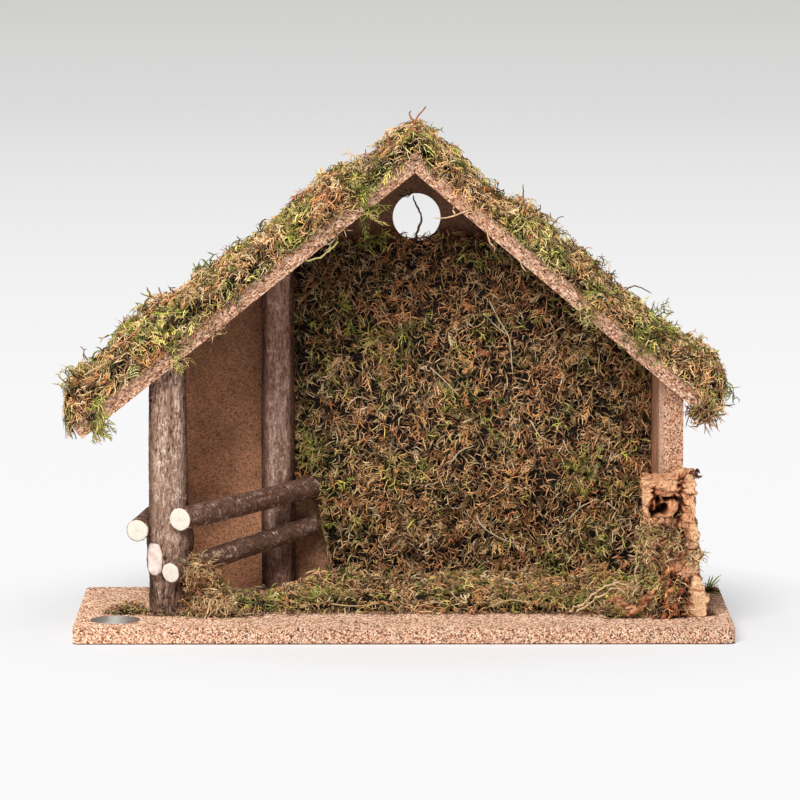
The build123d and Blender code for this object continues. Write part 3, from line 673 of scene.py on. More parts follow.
def remeshed(node, size):
    """Corner places in millimetres, faces and outward directions of a solid cut into even small faces."""
    copy = bpy.data.objects.new(node + "_copy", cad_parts[node].data.copy())
    bpy.context.scene.collection.objects.link(copy)
    cutter = copy.modifiers.new("even", "REMESH")
    cutter.mode = "VOXEL"
    cutter.voxel_size = size * MM
    mesh = bpy.data.meshes.new_from_object(copy.evaluated_get(bpy.context.evaluated_depsgraph_get()))
    bpy.data.objects.remove(copy)
    points = np.empty(len(mesh.vertices) * 3)
    mesh.vertices.foreach_get("co", points)
    normals = np.empty(len(mesh.vertices) * 3)
    mesh.vertices.foreach_get("normal", normals)
    faces = np.array([tuple(face.vertices) for face in mesh.polygons if len(face.vertices) == 4])
    return points.reshape(-1, 3) / MM, faces, normals.reshape(-1, 3)


def above_base(points, gap):
    """Places, with those below a small gap over the base board raised to it."""
    kept = points.copy()
    kept[:, 2] = np.maximum(kept[:, 2], BASE_TOP + gap)
    return kept


def crevice(points, line, width):
    """1 at places on a line of (x, z) corners, fading out about a width away from it."""
    flat = points[:, [0, 2]]
    least = np.full(len(points), np.inf)
    for start, end in zip(line[:-1], line[1:]):
        way = np.subtract(end, start)
        share = np.clip((flat - start) @ way / (way @ way), 0, 1)
        least = np.minimum(least, np.linalg.norm(flat - start - share[:, None] * way, axis=1))
    return bell(least, width)


BARK_GAP = 0.05
LEFT_CRACK = ((151.4, 91.7), (152.7, 84.2), (154.7, 79.3))
RIGHT_CRACK = ((163.6, 84.2), (167.7, 80.1), (166.2, 72.7), (168.5, 64.0), (168.7, 58.0))
# Painted shade, with a shallow dent, along this line on the cork's front.
SHADED_PIT = ((160.5, 68.0), (165.5, 60.0))


def cork_block(cork):
    """Cork block: crumbled and cracked, with a hollow torn open at the front and a ragged, tilted top."""
    points, faces, normals = remeshed("cork_bark_block", 0.75)
    x, y, z = points.T
    deep = y - CORK_FRONT
    block = noise(points * (1, 1, 0.8), 9.0, 201)
    broken = noise(points, 3.0, 206)
    crack = bell(noise(points * (0.35, 0.5, 1.3), 9.0, 202) + 0.12 * broken, 0.045)
    split = bell(noise(points * (1.5, 1.0, 0.3), 8.0, 203) + 0.12 * broken, 0.04)
    crumb = noise(points, 2.4, 204)
    grit = noise(points, 1.1, 205)
    steps = np.floor(2.5 * noise(points * (1, 0.6, 1), 7.0, 213)) / 2.5
    lumps = 1.8 * crumb + 1.6 * block

    # The hollow is filled nearly to the front, but for a tear, a slit and two cracks
    hollow = (deep > 2.0) & (deep < 24.0) & (normals[:, 1] < -0.3) & (z > HOLLOW_FLOOR)
    hollow = hollow * smooth_step(HOLLOW_LEFT, HOLLOW_LEFT + 2.0, x)
    hollow *= smooth_step(HOLLOW_RIGHT, HOLLOW_RIGHT - 2.0, x)
    tear = bell(z - 74.7 - 0.6 * (x - 155.1) + broken, 2.8, 4) * smooth_step(160.5, 158.0, x + broken)
    slit = bell(z - 82.9 + 0.1 * (x - 160) + broken, 1.1)
    slit *= smooth_step(155.0, 158.0, x) * smooth_step(164.0, 162.0, x)
    torn = points + 0.8 * broken[:, None]
    gape = np.maximum(crevice(torn, RIGHT_CRACK, 1.1), crevice(torn, LEFT_CRACK, 1.2))
    pit_shade = crevice(torn, SHADED_PIT, 3.6)
    fill = 1 - np.maximum(tear, np.maximum(slit, 0.9 * gape))
    fill = hollow * np.maximum(fill, smooth_step(66, 60, z))
    front = smooth_step(6.0, 2.5, deep)
    eaten = smooth_step(150.5, 153.0, x + 2.0 * broken) * smooth_step(176.0, 173.5, x + 1.5 * broken)
    eaten *= smooth_step(56.0, 60.0, z) * smooth_step(92.0, 89.0, z + 2.5 * broken + 2.0 * block)

    # Painted shade lies in the open hollow, the eaten recess, the two cracks and a dark patch below them.
    shade = 0.67 + 0.12 * block - 0.6 * crack - 0.44 * split + 0.2 * crumb + 0.14 * grit
    shade -= 0.6 * hollow * (1 - fill) * smooth_step(1.0, 8.0, deep)
    shade += 0.2 * smooth_step(172.0, 176.0, x) + 0.16 * smooth_step(40.0, 30.0, z)
    shade -= 0.14 * front * eaten + 0.05 * fill + (deep < 10) * (0.5 * gape + 0.32 * pit_shade)

    side = 1 - 0.5 * np.abs(normals[:, 1])
    relief = 0.9 * block * side - 1.3 * crack - 0.9 * split + 0.42 * crumb + 0.3 * grit + 0.8 * steps - 0.1
    relief *= smooth_step(BASE_TOP + 0.1, BASE_TOP + 2.5, z)
    moved = points + normals * relief[:, None]
    moved[:, 1] += front * eaten * (2.8 + lumps)
    moved[:, 1] += fill * (CORK_FRONT + 3.2 + lumps - 1.5 * crack - moved[:, 1])
    moved[:, 1] += (deep < 10) * (3.0 * gape + 1.5 * pit_shade)
    rim = smooth_step(BASE_TOP + 1, BASE_TOP + 8, z) * smooth_step(25.0, 18.0, deep)
    rim *= smooth_step(144.6, 149.0, x) * smooth_step(CORK_TOP, CORK_TOP - 6.0, z)
    jag = 2.2 * noise(points * (1, 0.3, 1), 6.0, 207) + 1.2 * noise(points * (1, 0.4, 1), 2.6, 208)
    moved[:, 0] += rim * jag
    moved[:, 2] += rim * (2.0 * noise(points * (1, 0.3, 1), 5.0, 209) + 1.0 * noise(points, 2.4, 210))
    back = smooth_step(6.0, 14.0, deep) * smooth_step(158.0, 170.0, x)
    tilt = 4.6 * back - 4.2 - 1.3 * (1 - back) * smooth_step(160, 178, x)
    moved[:, 2] += tilt * smooth_step(CORK_TOP - 18.0, CORK_TOP, z)
    corner = smooth_step(180.5, 183.5, x + broken) * smooth_step(CORK_TOP - 14.0, CORK_TOP - 3.0, z)
    moved[:, 2] -= 4.5 * corner
    moved[:, 1] = np.minimum(moved[:, 1], CORK_BACK)
    moved = above_base(moved, BARK_GAP)
    piece("cork_block", ("cork_bark_block",), moved, faces, (cork,), values=np.clip(shade, 0, 1))


def curled_bark(cork):
    """Curled bits of bark at the cork's foot."""
    points, faces, normals = remeshed("bark_chips", 0.45)
    crumb = noise(points, 2.0, 211)
    ridge = noise(points * (1, 1, 1.5), 4.0, 212)
    moved = above_base(points + normals * (0.3 * crumb + 0.35 * ridge)[:, None], BARK_GAP)
    shade = np.clip(0.47 + 0.3 * crumb + 0.3 * ridge, 0, 1)
    piece("curled_bark", ("bark_chips",), moved, faces, (cork,), values=shade)


def bark_strip(cork):
    """Crumbly curled strip of bark that leans against the moss at the cork's foot."""
    share = np.linspace(0, 1, 60)
    stops = ((137.5, 142, 147.5, 154), (-47, -48, -47.5, -45.5), (12.4, 16.5, 22, 29))
    path = np.column_stack([np.interp(share, (0, 0.3, 0.65, 1), run) for run in stops])
    way = unit(np.gradient(path, axis=0))
    wide = unit(np.cross(way, (0.2, 1.0, 0.1)))
    thick = np.cross(wide, way)
    turn = turns(28)
    reach = 2.9 * np.sin(np.pi * (0.12 + 0.8 * share)) * (1 + 0.25 * noise(path, 3.0, 221))
    across = np.cos(turn)[None] * reach[:, None]
    deep = np.sin(turn)[None] * 0.9 + 0.16 * across**2 - 0.6
    rings = path[:, None] + across[:, :, None] * wide[:, None] + deep[:, :, None] * thick[:, None]
    points = rings.reshape(-1, 3)
    crumb = noise(points, 1.8, 222)
    points = points + 0.5 * np.column_stack((crumb, noise(points, 2.2, 223), noise(points, 2.0, 224)))
    points, faces, _ = closed_tube(points.reshape(rings.shape))
    points = above_base(points, BARK_GAP)
    shade = np.clip(0.46 + 0.3 * np.append(crumb, (0, 0)) + 0.2 * noise(points, 4.0, 225), 0, 1)
    piece("bark_strip", ("bark_chips",), points, faces, (cork,), values=shade)


cork_material = cork_bark()
cork_block(cork_material)
curled_bark(cork_material)
bark_strip(cork_material)


def tube(path, radii, first=0.0, last=1.0):
    """Thin three-sided tube with a pointed tip: corners, faces, map places and corners' shares along it."""
    path = np.asarray(path, float)
    way = unit(np.gradient(path, axis=0))
    side = unit(np.cross(way, (0.27, 0.13, 0.95)))
    other = np.cross(way, side)
    turn = turns(3)
    out = np.cos(turn)[None, :, None] * side[:, None] + np.sin(turn)[None, :, None] * other[:, None]
    rings = path[:-1, None] + out[:-1] * np.asarray(radii, float)[:-1, None, None]
    points = np.vstack((rings.reshape(-1, 3), path[-1:]))
    share = np.linspace(first, last, len(path))
    faces = [(2, 1, 0)]
    flat = [((0.1, first), (0.3, first), (0.2, first + 0.03))]
    for step in range(len(path) - 1):
        for near in range(3):
            low = 3 * step + near
            low_after = 3 * step + (near + 1) % 3
            start = (near / 3, share[step])
            start_after = ((near + 1) / 3, share[step])
            if step == len(path) - 2:
                faces.append((low, low_after, len(points) - 1))
                flat.append((start, start_after, ((near + 0.5) / 3, share[step + 1])))
            else:
                faces += [(low, low_after, low_after + 3), (low, low_after + 3, low + 3)]
                end = (near / 3, share[step + 1])
                end_after = ((near + 1) / 3, share[step + 1])
                flat += [(start, start_after, end_after), (start, end_after, end)]
    return points, np.array(faces), np.array(flat), np.append(np.repeat(share[:-1], 3), last)


def joined(tubes):
    """Several tubes as one shape."""
    points, faces, flat, shares = zip(*tubes)
    starts = np.cumsum([0] + [len(part) for part in points[:-1]])
    shifted = [part + start for part, start in zip(faces, starts)]
    return np.vstack(points), np.vstack(shifted), np.vstack(flat), np.concatenate(shares)


def curl_path(random, count, length=1.0):
    """Winding path of a given length from the origin along +X."""
    share = np.linspace(0, 1, count)
    heading = random.uniform(-3.1, 3.1) * share + random.uniform(-0.9, 0.9) * np.sin(5 * share)
    step = length / (count - 1)
    run = np.append(0, np.cumsum(np.cos(heading[1:]) * step))
    drift = np.append(0, np.cumsum(np.sin(heading[1:]) * step))
    rise = length * random.uniform(0.02, 0.3) * np.sin(random.uniform(1.8, 3.6) * share)
    return np.column_stack((run, drift, rise))


def curl(random):
    """Single curled strand of length 1."""
    return tube(curl_path(random, 5), (0.031, 0.036, 0.034, 0.027, 0))


def sprig(random):
    """Strand of length 1 with three side strands."""
    stem = curl_path(random, 5)
    tubes = [tube(stem, (0.026, 0.031, 0.031, 0.026, 0))]
    for root in (1, 2, 3):
        angle = random.uniform(0.5, 1.2) * random.choice((-1, 1))
        run, drift, rise = curl_path(random, 4, random.uniform(0.3, 0.55)).T
        turned_run = run * math.cos(angle) - drift * math.sin(angle)
        turned_drift = run * math.sin(angle) + drift * math.cos(angle)
        side = stem[root] + np.column_stack((turned_run, turned_drift, rise))
        tubes.append(tube(side, (0.022, 0.027, 0.025, 0), 0.25 * root, 1.0))
    return joined(tubes)


def comb(random):
    """Feathery frond of length 1: an arched stem with curved branchlets on both sides."""
    share = np.linspace(0, 1, 6)
    bend = random.uniform(-0.4, 0.4)
    lift = random.uniform(0.02, 0.3)
    stem = np.column_stack((share, bend * share**2, lift * np.sin(2.6 * share)))
    tubes = [tube(stem, 0.026 * (1.1 - 0.5 * share))]
    for step in range(5):
        at = 0.16 + 0.16 * step
        root = np.array([np.interp(at, share, run) for run in stem.T])
        for hand in (-1, 1):
            reach = (0.46 - 0.3 * at) * random.uniform(0.7, 1.2)
            spread = random.uniform(0.7, 1.2)
            part = np.array((0, 0.5, 1))
            run = part * math.cos(spread) + random.uniform(0.1, 0.5) * part**2
            drift = hand * (part * math.sin(spread) - random.uniform(0.1, 0.4) * part**2)
            rise = random.uniform(-0.2, 0.5) * part - random.uniform(0.1, 0.5) * part**2
            path = root + reach * np.column_stack((run, drift, rise))
            tubes.append(tube(path, (0.022, 0.027, 0), at, min(1.0, at + 0.4)))
    return joined(tubes)


def flake(random):
    """Bent crumb of bark of length 1."""
    points, faces, flat, shares = tube(curl_path(random, 5), (0.12, 0.2, 0.22, 0.15, 0))
    return points * (1, 1, 0.45), faces, flat, shares


def thread(random):
    """Long thin curled strand of length 1."""
    share = np.linspace(0, 1, 12)
    turning = random.uniform(-2.5, 2.5) * share
    heading = turning + 1.3 * np.sin(random.uniform(7, 13) * share + random.uniform(0, 6))
    run = np.cumsum(np.cos(heading)) / 12
    drift = np.cumsum(np.sin(heading)) / 12
    rise = 0.12 * np.sin(random.uniform(4, 9) * share)
    return tube(np.column_stack((run - run[0], drift - drift[0], rise)), 0.017 * (1.1 - 0.4 * share))


shape_random = np.random.default_rng(7)
CURLS = [curl(shape_random) for number in range(24)]
SPRIGS = [sprig(shape_random) for number in range(12)]
COMBS = [comb(shape_random) for number in range(14)]
FLAKES = [flake(shape_random) for number in range(8)]
THREADS = [thread(shape_random) for number in range(14)]

BRIGHTEST = 0.95
TAN_TINTS = palette((214, 178, 131), (241, 214, 169), (186, 144, 92), (131, 89, 55))
RUST_TINTS = palette((198, 143, 97), (222, 174, 124), (140, 90, 58))
GREEN_TINTS = palette((166, 151, 84), (130, 131, 58), (202, 189, 116), (92, 97, 43))
# Near-black tone of the moss mat: old moss, darkened further as painted shade.
MAT_SHADE_TINT = palette((30, 21, 14))[0]
moss_material = moss()


def capped(tints):
    """Tints, with those that are too bright made darker."""
    return tints * np.minimum(1, BRIGHTEST / tints.max(1, keepdims=True))


def moss_tints(places, random, seed, green, rust, depth_shade=1.0):
    """Tint of each moss bit: tan, rust and green ones in patches, some patches duller."""
    count = len(places)
    leafy = green * (0.08 + 2.8 * smooth_step(-0.1, 0.55, noise(places, 13.0, seed)))
    rusty = rust * (0.3 + 1.1 * smooth_step(-0.3, 0.5, noise(places, 16.0, seed + 20)))
    tints = TAN_TINTS[random.choice(4, count, p=(0.38, 0.2, 0.26, 0.16))]
    warm = RUST_TINTS[random.choice(3, count, p=(0.45, 0.3, 0.25))]
    leaf = GREEN_TINTS[random.choice(4, count, p=(0.38, 0.27, 0.2, 0.15))]
    tints = np.where(random.random((count, 1)) < rusty[:, None], warm, tints)
    tints = np.where(random.random((count, 1)) < leafy[:, None], leaf, tints)
    dull = 1.06 + 1.0 * smooth_step(-0.5, 0.4, noise(places, 9.0, seed + 21))
    return capped(tints * depth_shade * dull[:, None] * (0.2 + 2.4 * random.random((count, 1)) ** 1.6))


def grown(shapes, places, ups, lengths, tints, random, tilt=(0.05, 0.7), droop=0.25, heads=None):
    """Moss bits set on places, each turned at random about its outward direction or towards a heading."""
    count = len(places)
    yaw = random.uniform(0, 2 * np.pi, count)
    if heads is None:
        heads = np.where(np.abs(ups[:, 2:]) > 0.9, (1.0, 0.0, 0.0), (0.0, 0.0, 1.0))
    else:
        yaw = random.normal(0, 0.5, count)
    across = unit(np.cross(ups, heads))
    along = np.cross(across, ups)
    lift = random.uniform(tilt[0], tilt[1], count)
    level = np.cos(yaw)[:, None] * along + np.sin(yaw)[:, None] * across
    axis = np.cos(lift)[:, None] * level + np.sin(lift)[:, None] * ups
    sideways = np.cross(ups, level)
    top = np.cross(axis, sideways)
    picked = random.integers(0, len(shapes), count)
    parts = []
    for number, (points, faces, flat, shares) in enumerate(shapes):
        chosen = np.flatnonzero(picked == number)
        if not len(chosen):
            continue
        made = points[:, 0][None, :, None] * axis[chosen, None]
        made = made + points[:, 1][None, :, None] * sideways[chosen, None]
        made = made + points[:, 2][None, :, None] * top[chosen, None]
        made = places[chosen, None] + made * lengths[chosen, None, None]
        made[:, :, 2] -= droop * lengths[chosen, None] * shares[None] ** 2
        # Bits darken towards their roots: partly browner old stems, partly painted shade deep in the moss.
        shade = 0.06 + 1.1 * smooth_step(0.03, 0.7, shares)
        parts.append((made, faces, flat, tints[chosen, None] * shade[None, :, None]))
    return parts


def moss_piece(name, node, parts, keep):
    """One piece from grown moss bits. Each bit has its own square on the map."""
    points = []
    faces = []
    colours = []
    flats = []
    squares = math.ceil(math.sqrt(sum(len(part[0]) for part in parts)))
    first = 0
    start = 0
    for made, shape_faces, flat, tints in parts:
        count, corners = made.shape[:2]
        numbers = np.arange(first, first + count)
        square = np.column_stack((numbers % squares, numbers // squares))
        offsets = start + np.arange(count) * corners
        points.append(made.reshape(-1, 3))
        colours.append(tints.reshape(-1, 3))
        faces.append((offsets[:, None, None] + shape_faces[None]).reshape(-1, 3))
        flats.append(((square[:, None, None] + 0.06 + 0.88 * flat[None]) / squares).reshape(-1, 3, 2))
        first += count
        start += count * corners
    points, faces, colours, flats = (np.vstack(rows) for rows in (points, faces, colours, flats))
    piece(name, (node,), keep(points), faces, (moss_material,), colours=colours, flat=flats)


def scatter(surface, count, weight, random):
    """Random places and outward directions on a surface, more where weight(places, directions) is high."""
    points, faces, normals = surface
    corners = points[faces]
    area = np.linalg.norm(np.cross(corners[:, 2] - corners[:, 0], corners[:, 3] - corners[:, 1]), axis=1)
    chance = area * weight(corners.mean(1), unit(normals[faces].sum(1)))
    picked = random.choice(len(faces), count, p=chance / chance.sum())
    across = random.random((count, 1))
    along = random.random((count, 1))
    shares = ((1 - across) * (1 - along), across * (1 - along), across * along, (1 - across) * along)
    weights = np.hstack(shares)
    places = np.einsum("nk,nkd->nd", weights, corners[picked])
    ups = unit(np.einsum("nk,nkd->nd", weights, normals[faces[picked]]))
    return places, ups


def bits(ground, shapes, count, lengths, tint, depths=None, dim=None, reach=1.0, **stance):
    """Moss bits on a ground of a surface, its weight and a random source.

    Tint is a seed and the shares of green and rust. Bits sunk between two depths get painted shade, darker the
    deeper they are. Dim gives painted shade at each place, and reach stretches the lengths.
    """
    surface, weight, random = ground
    places, ups = scatter(surface, count, weight, random)
    depth_shade = 1.0
    if depths:
        low, high = depths
        depth = random.uniform(low, high, (count, 1))
        places = places + ups * depth
        # Painted shade: bits sunk deeper are darker.
        depth_shade = 0.5 + 0.75 * (depth - low) / (high - low)
    tints = moss_tints(places, random, *tint, depth_shade)
    if dim:
        tints = tints * dim(places)[:, None]
    return grown(shapes, places, ups, random.uniform(*lengths, count) * reach, tints, random, **stance)


def mat_piece(name, node, surface, depth, seed, keep):
    """Matted underside of the moss, dark partly as old moss and partly as painted shade: the solid made lumpy
    and a little smaller.
    """
    points, faces, normals = surface
    lump = 0.6 * noise(points, 15.0, seed) + 0.4 * noise(points, 5.0, seed + 1)
    moved = points + normals * (depth * (lump - 0.9))[:, None]
    tone = MAT_SHADE_TINT * (0.8 + 0.5 * noise(points, 2.5, seed + 2))[:, None]
    piece(name, (node,), keep(moved), faces, (moss_material,), colours=tone)


def roof_keep(up, down, eave, lumps):
    """Keeps roof moss on or in front of its board and near the eave, given as an x.

    Lumps are pairs of an x and how much the moss is raised there.
    """
    at, raised = np.array(lumps, float).T

    def keep(points):
        height = (points - RIDGE) @ up - ROOF_THICKNESS
        run = (points - RIDGE) @ down
        over = (points[:, 1] > ROOF_FRONT - 0.3) & (run > -14) & (run < LEFT_SLOPE + 3) & (height < 0.2)
        lifted = points.copy()
        lifted[over] += np.outer(0.2 - height[over], up)
        lifted[:, 2] += np.interp(points[:, 0], at, raised) * np.clip(height / 12, 0, 1)
        sag = np.minimum((lifted - RIDGE) @ up - ROOF_THICKNESS + 1.0, 0) * (lifted[:, 1] < ROOF_FRONT)
        bare = smooth_step(0.7, 0.25, noise(np.outer(run, (1, 0, 0)), 17.0, 97))
        bare = np.maximum(bare, smooth_step(205, 222, run))
        lifted -= np.outer(0.85 * sag * bare, up)
        past = np.maximum(np.sign(eave) * (lifted[:, 0] - eave), 0)
        lifted[:, 0] -= np.sign(eave) * 0.75 * past
        return lifted

    return keep


def wall_keep(points):
    """Keeps back wall moss in front of the panel and beside the lining, above the base board.

    Low down it ends a little farther from the back post.
    """
    kept = above_base(points, 0.1)
    edge = np.interp(points[:, 2], (28, 66, 74), (-45, -53, -75))
    kept[:, 0] += 0.75 * np.maximum(edge - kept[:, 0], 0)
    kept[:, 0] = np.minimum(kept[:, 0], LINING_FACE)
    kept[:, 1] = np.minimum(kept[:, 1], PANEL_FRONT - 0.1)
    return kept


def ground_keep(points):
    """Keeps moss on the base board."""
    return above_base(points, 0.08)


def free_keep(points):
    """Leaves moss where it grew."""
    return points


def roof_moss(label, up, down, slope, eave, lumps, counts, fringe, seed):
    """Moss on one roof board, with a fringe that hangs over the board's front edge.

    Counts are those of fronds, sprigs and curls.
    """
    node = label + "_moss"
    random = np.random.default_rng(seed)
    surface = remeshed(node, 2.2)
    keep = roof_keep(up, down, eave, lumps)
    mat_piece(node + "_mat", node, surface, 2.2, seed, keep)

    def weight(places, ways):
        lively = 0.8 + 0.7 * smooth_step(-0.5, 0.5, noise(places, 14.0, seed + 3))
        return (ways @ up > -0.4) * lively * (1 + 1.2 * smooth_step(10.0, 35.0, -places[:, 1]))

    ground = (surface, weight, random)
    tint = (seed, 0.27, 0.25)
    parts = bits(ground, COMBS, counts[0], (9, 15), tint, (-2.5, 1.0))
    parts += bits(ground, SPRIGS, counts[1], (7, 14), tint, (-2.5, 1.0))
    parts += bits(ground, SPRIGS, 420, (9, 16), (seed, 0.38, 0.2), tilt=(0.5, 1.3), droop=0.15)
    moss_piece(node + "_fronds", node, parts, keep)
    parts = bits(ground, CURLS, counts[2], (4.5, 11), tint, (-2.0, 1.5))
    run = random.uniform(-4, slope + 2, fringe)
    drop = random.exponential(1.3, fringe)
    thick = smooth_step(-0.7, 0.3, noise(np.outer(run, (1, 0, 0)), 30.0, seed + 5))
    places = RIDGE + np.outer(run, down) + np.outer(ROOF_THICKNESS + 1.0 - drop * thick, up)
    places[:, 1] = ROOF_FRONT - random.uniform(0.2, 2.0, fringe)
    sway = random.normal(0, 0.25, fringe)
    ups = unit(np.column_stack((sway, np.full(fringe, -1.0), random.normal(0.2, 0.25, fringe))))
    tints = moss_tints(places, random, seed, 0.3, 0.25)
    parts += grown(CURLS, places, ups, random.uniform(4, 9, fringe), tints, random, (0.0, 0.35), 0.1)
    moss_piece(node + "_curls", node, parts, keep)


# Where the moss on the roof boards is raised, as pairs of x and millimetres
LEFT_LUMPS = (
    *((-215, 4), (-200, 5), (-191, 0), (-183, 0), (-175, 4.5), (-162, 5), (-152, 3), (-145, -1.5)),
    *((-137, -2), (-124, 1.5), (-116, -1), (-108, 3), (-95, 1.5), (-64, 1), (-48, 4), (-40, 3)),
    *((-33, 0), (-22, -4), (-10, 0)),
)
RIGHT_LUMPS = (
    *((34, 0), (42, -3.5), (57, -6), (64, -4), (72, 2), (80, 4), (88, 2), (95, 0), (102, -4)),
    *((109, 0), (117, 2), (124, -2.5), (140, 0.5), (155, 0), (165, -1.5), (180, 2), (190, 5), (200, 6)),
)
LEFT_COUNTS = (400, 1450, 7200)
RIGHT_COUNTS = (360, 1300, 6600)
roof_moss("left_roof", LEFT_UP, LEFT_DOWN, LEFT_SLOPE, -204.0, LEFT_LUMPS, LEFT_COUNTS, 1000, 301)
roof_moss("right_roof", RIGHT_UP, RIGHT_DOWN, RIGHT_SLOPE, 195.0, RIGHT_LUMPS, RIGHT_COUNTS, 500, 331)


def wall_shade(places):
    """Painted shade on wall moss: less bright beside the back post and under the roof."""
    return 1 - 0.3 * smooth_step(-15, -60, places[:, 0]) - 0.32 * smooth_step(175, 225, places[:, 2])


def wall_moss():
    """Moss on the inside of the back panel."""
    node = "back_wall_moss"
    surface = remeshed(node, 2.2)
    mat_piece("wall_moss_mat", node, surface, 3.0, 361, wall_keep)

    def weight(places, ways):
        lively = 0.8 + 0.7 * smooth_step(-0.5, 0.5, noise(places, 14.0, 364))
        return (ways[:, 1] < 0.3) * lively

    ground = (surface, weight, np.random.default_rng(361))
    tint = (367, 0.2, 0.5)
    parts = bits(ground, COMBS, 420, (8, 14), tint, (-4.0, 2.0), wall_shade)
    parts += bits(ground, SPRIGS, 1700, (7, 13), tint, (-4.0, 2.0), wall_shade)
    moss_piece("wall_moss_fronds", node, parts, wall_keep)
    for name, count, lengths in (("wall_moss_curls", 6500, (6, 12)), ("wall_moss_wisps", 7500, (4.5, 9))):
        parts = bits(ground, CURLS, count, lengths, tint, (-3.0, 2.5), wall_shade)
        moss_piece(name, node, parts, wall_keep)


wall_moss()


def ground_moss(label, node, counts, tall, reach, mat, seed):
    """Moss on the base board or in the cork.

    Counts are those of fronds, sprigs and curls, and tall is that of taller sprigs.
    """
    surface = remeshed(node, mat)
    mat_piece(label + "_mat", node, surface, mat, seed, ground_keep)

    def weight(places, ways):
        lively = 0.6 + smooth_step(-0.5, 0.5, noise(places, 12.0, seed + 3))
        return (ways[:, 2] > -0.3) * lively * (1 + 2.5 * (ways[:, 2] < 0.6))

    ground = (surface, weight, np.random.default_rng(seed))
    parts = []
    for shapes, count, lengths in zip((COMBS, SPRIGS, CURLS), counts, ((8, 15), (7, 14), (5, 12))):
        parts += bits(ground, shapes, count, lengths, (seed, 0.26, 0.4), (-2.0, 1.0), reach=reach)
    stance = {"tilt": (0.5, 1.3), "droop": 0.2}
    parts += bits(ground, SPRIGS, tall, (10, 19), (seed, 0.4, 0.4), reach=reach, **stance)
    moss_piece(label + "_bits", node, parts, ground_keep)


ground_moss("floor_moss", "floor_moss", (200, 480, 4600), 200, 0.9, 2.0, 391)
ground_moss("post_moss", "front_post_moss", (20, 100, 1000), 16, 0.75, 1.2, 421)
ground_moss("cork_moss", "cork_moss", (10, 90, 520), 20, 0.75, 1.0, 451)


TUFT_TONES = {
    "pale_green": (208, 196, 132),
    "lime": (192, 186, 102),
    "leaf": (158, 190, 84),
    "green": (138, 138, 66),
    "olive": (170, 150, 88),
    "tan": (208, 166, 120),
    "straw": (226, 196, 146),
    "rust": (178, 122, 86),
    "dark": (104, 66, 48),
    "cork": (214, 140, 92),
    "deep_cork": (150, 84, 52),
}


def picked_tints(names, count, random):
    """Random tints out of some named tones."""
    tints = palette(*(TUFT_TONES[name] for name in names.split()))
    return tints[random.integers(0, len(tints), count)]


def surface_tree(carriers):
    """Search for the nearest place on some solids or pieces."""
    points = []
    faces = []
    for carrier in carriers:
        mesh = bpy.data.objects[carrier].data
        first = len(points)
        points += [vertex.co / MM for vertex in mesh.vertices]
        faces += [[first + corner for corner in face.vertices] for face in mesh.polygons]
    return BVHTree.FromPolygons(points, faces)


def rooted(places, tree):
    """Places, with those off the surface drawn back to it."""
    held = places.copy()
    for number, place in enumerate(places):
        near, way, _, gap = tree.find_nearest(place)
        if gap > 0.6 and way.dot(Vector(place) - near) > 0:
            held[number] = near
    return held


def tuft(random, tree, place, way, spread, count, lengths, tones, shapes, loose):
    """Bits rooted near a place that point about one way. Spread is the roots' reach along x, y and z."""
    offsets = np.clip(random.normal(0, 0.5, (count, 3)), -0.9, 0.9)
    places = rooted(np.array(place) + offsets * spread, tree)
    aims = unit(np.array(way, float) + random.normal(0, loose, (count, 3)))
    ups = unit(np.cross(aims, random.normal(0, 1, (count, 3))))
    tints = picked_tints(tones, count, random)
    tints = capped(tints * random.uniform(0.6, 1.45, (count, 1)))
    sizes = random.uniform(lengths[0], lengths[1], count)
    return grown(shapes, places, ups, sizes, tints, random, (0.0, 0.2), 0.1, aims)


def edge_crumbs(count):
    """Short crumbs along the front of the floor moss."""
    random = np.random.default_rng(551)
    run = random.uniform(-112, 124, count)
    edge = -25 + 4 * np.sin(run / 9) - random.exponential(2.6, count)
    places = np.column_stack((run, edge, np.full(count, BASE_TOP + 0.6)))
    ups = unit(np.column_stack((random.normal(0, 0.2, (count, 2)), np.ones(count))))
    tints = picked_tints("rust tan dark", count, random)
    return grown(CURLS, places, ups, random.uniform(2.5, 7, count), tints, random, (0.0, 0.3), 0.0)


def tufts(name, node, carriers, rows, seed, keep, more=()):
    """One piece of tufts, each rooted on the solids or pieces that carry it."""
    random = np.random.default_rng(seed)
    tree = surface_tree(carriers)
    parts = list(more)
    for row in rows:
        parts += tuft(random, tree, *row)
    moss_piece(name, node, parts, keep)


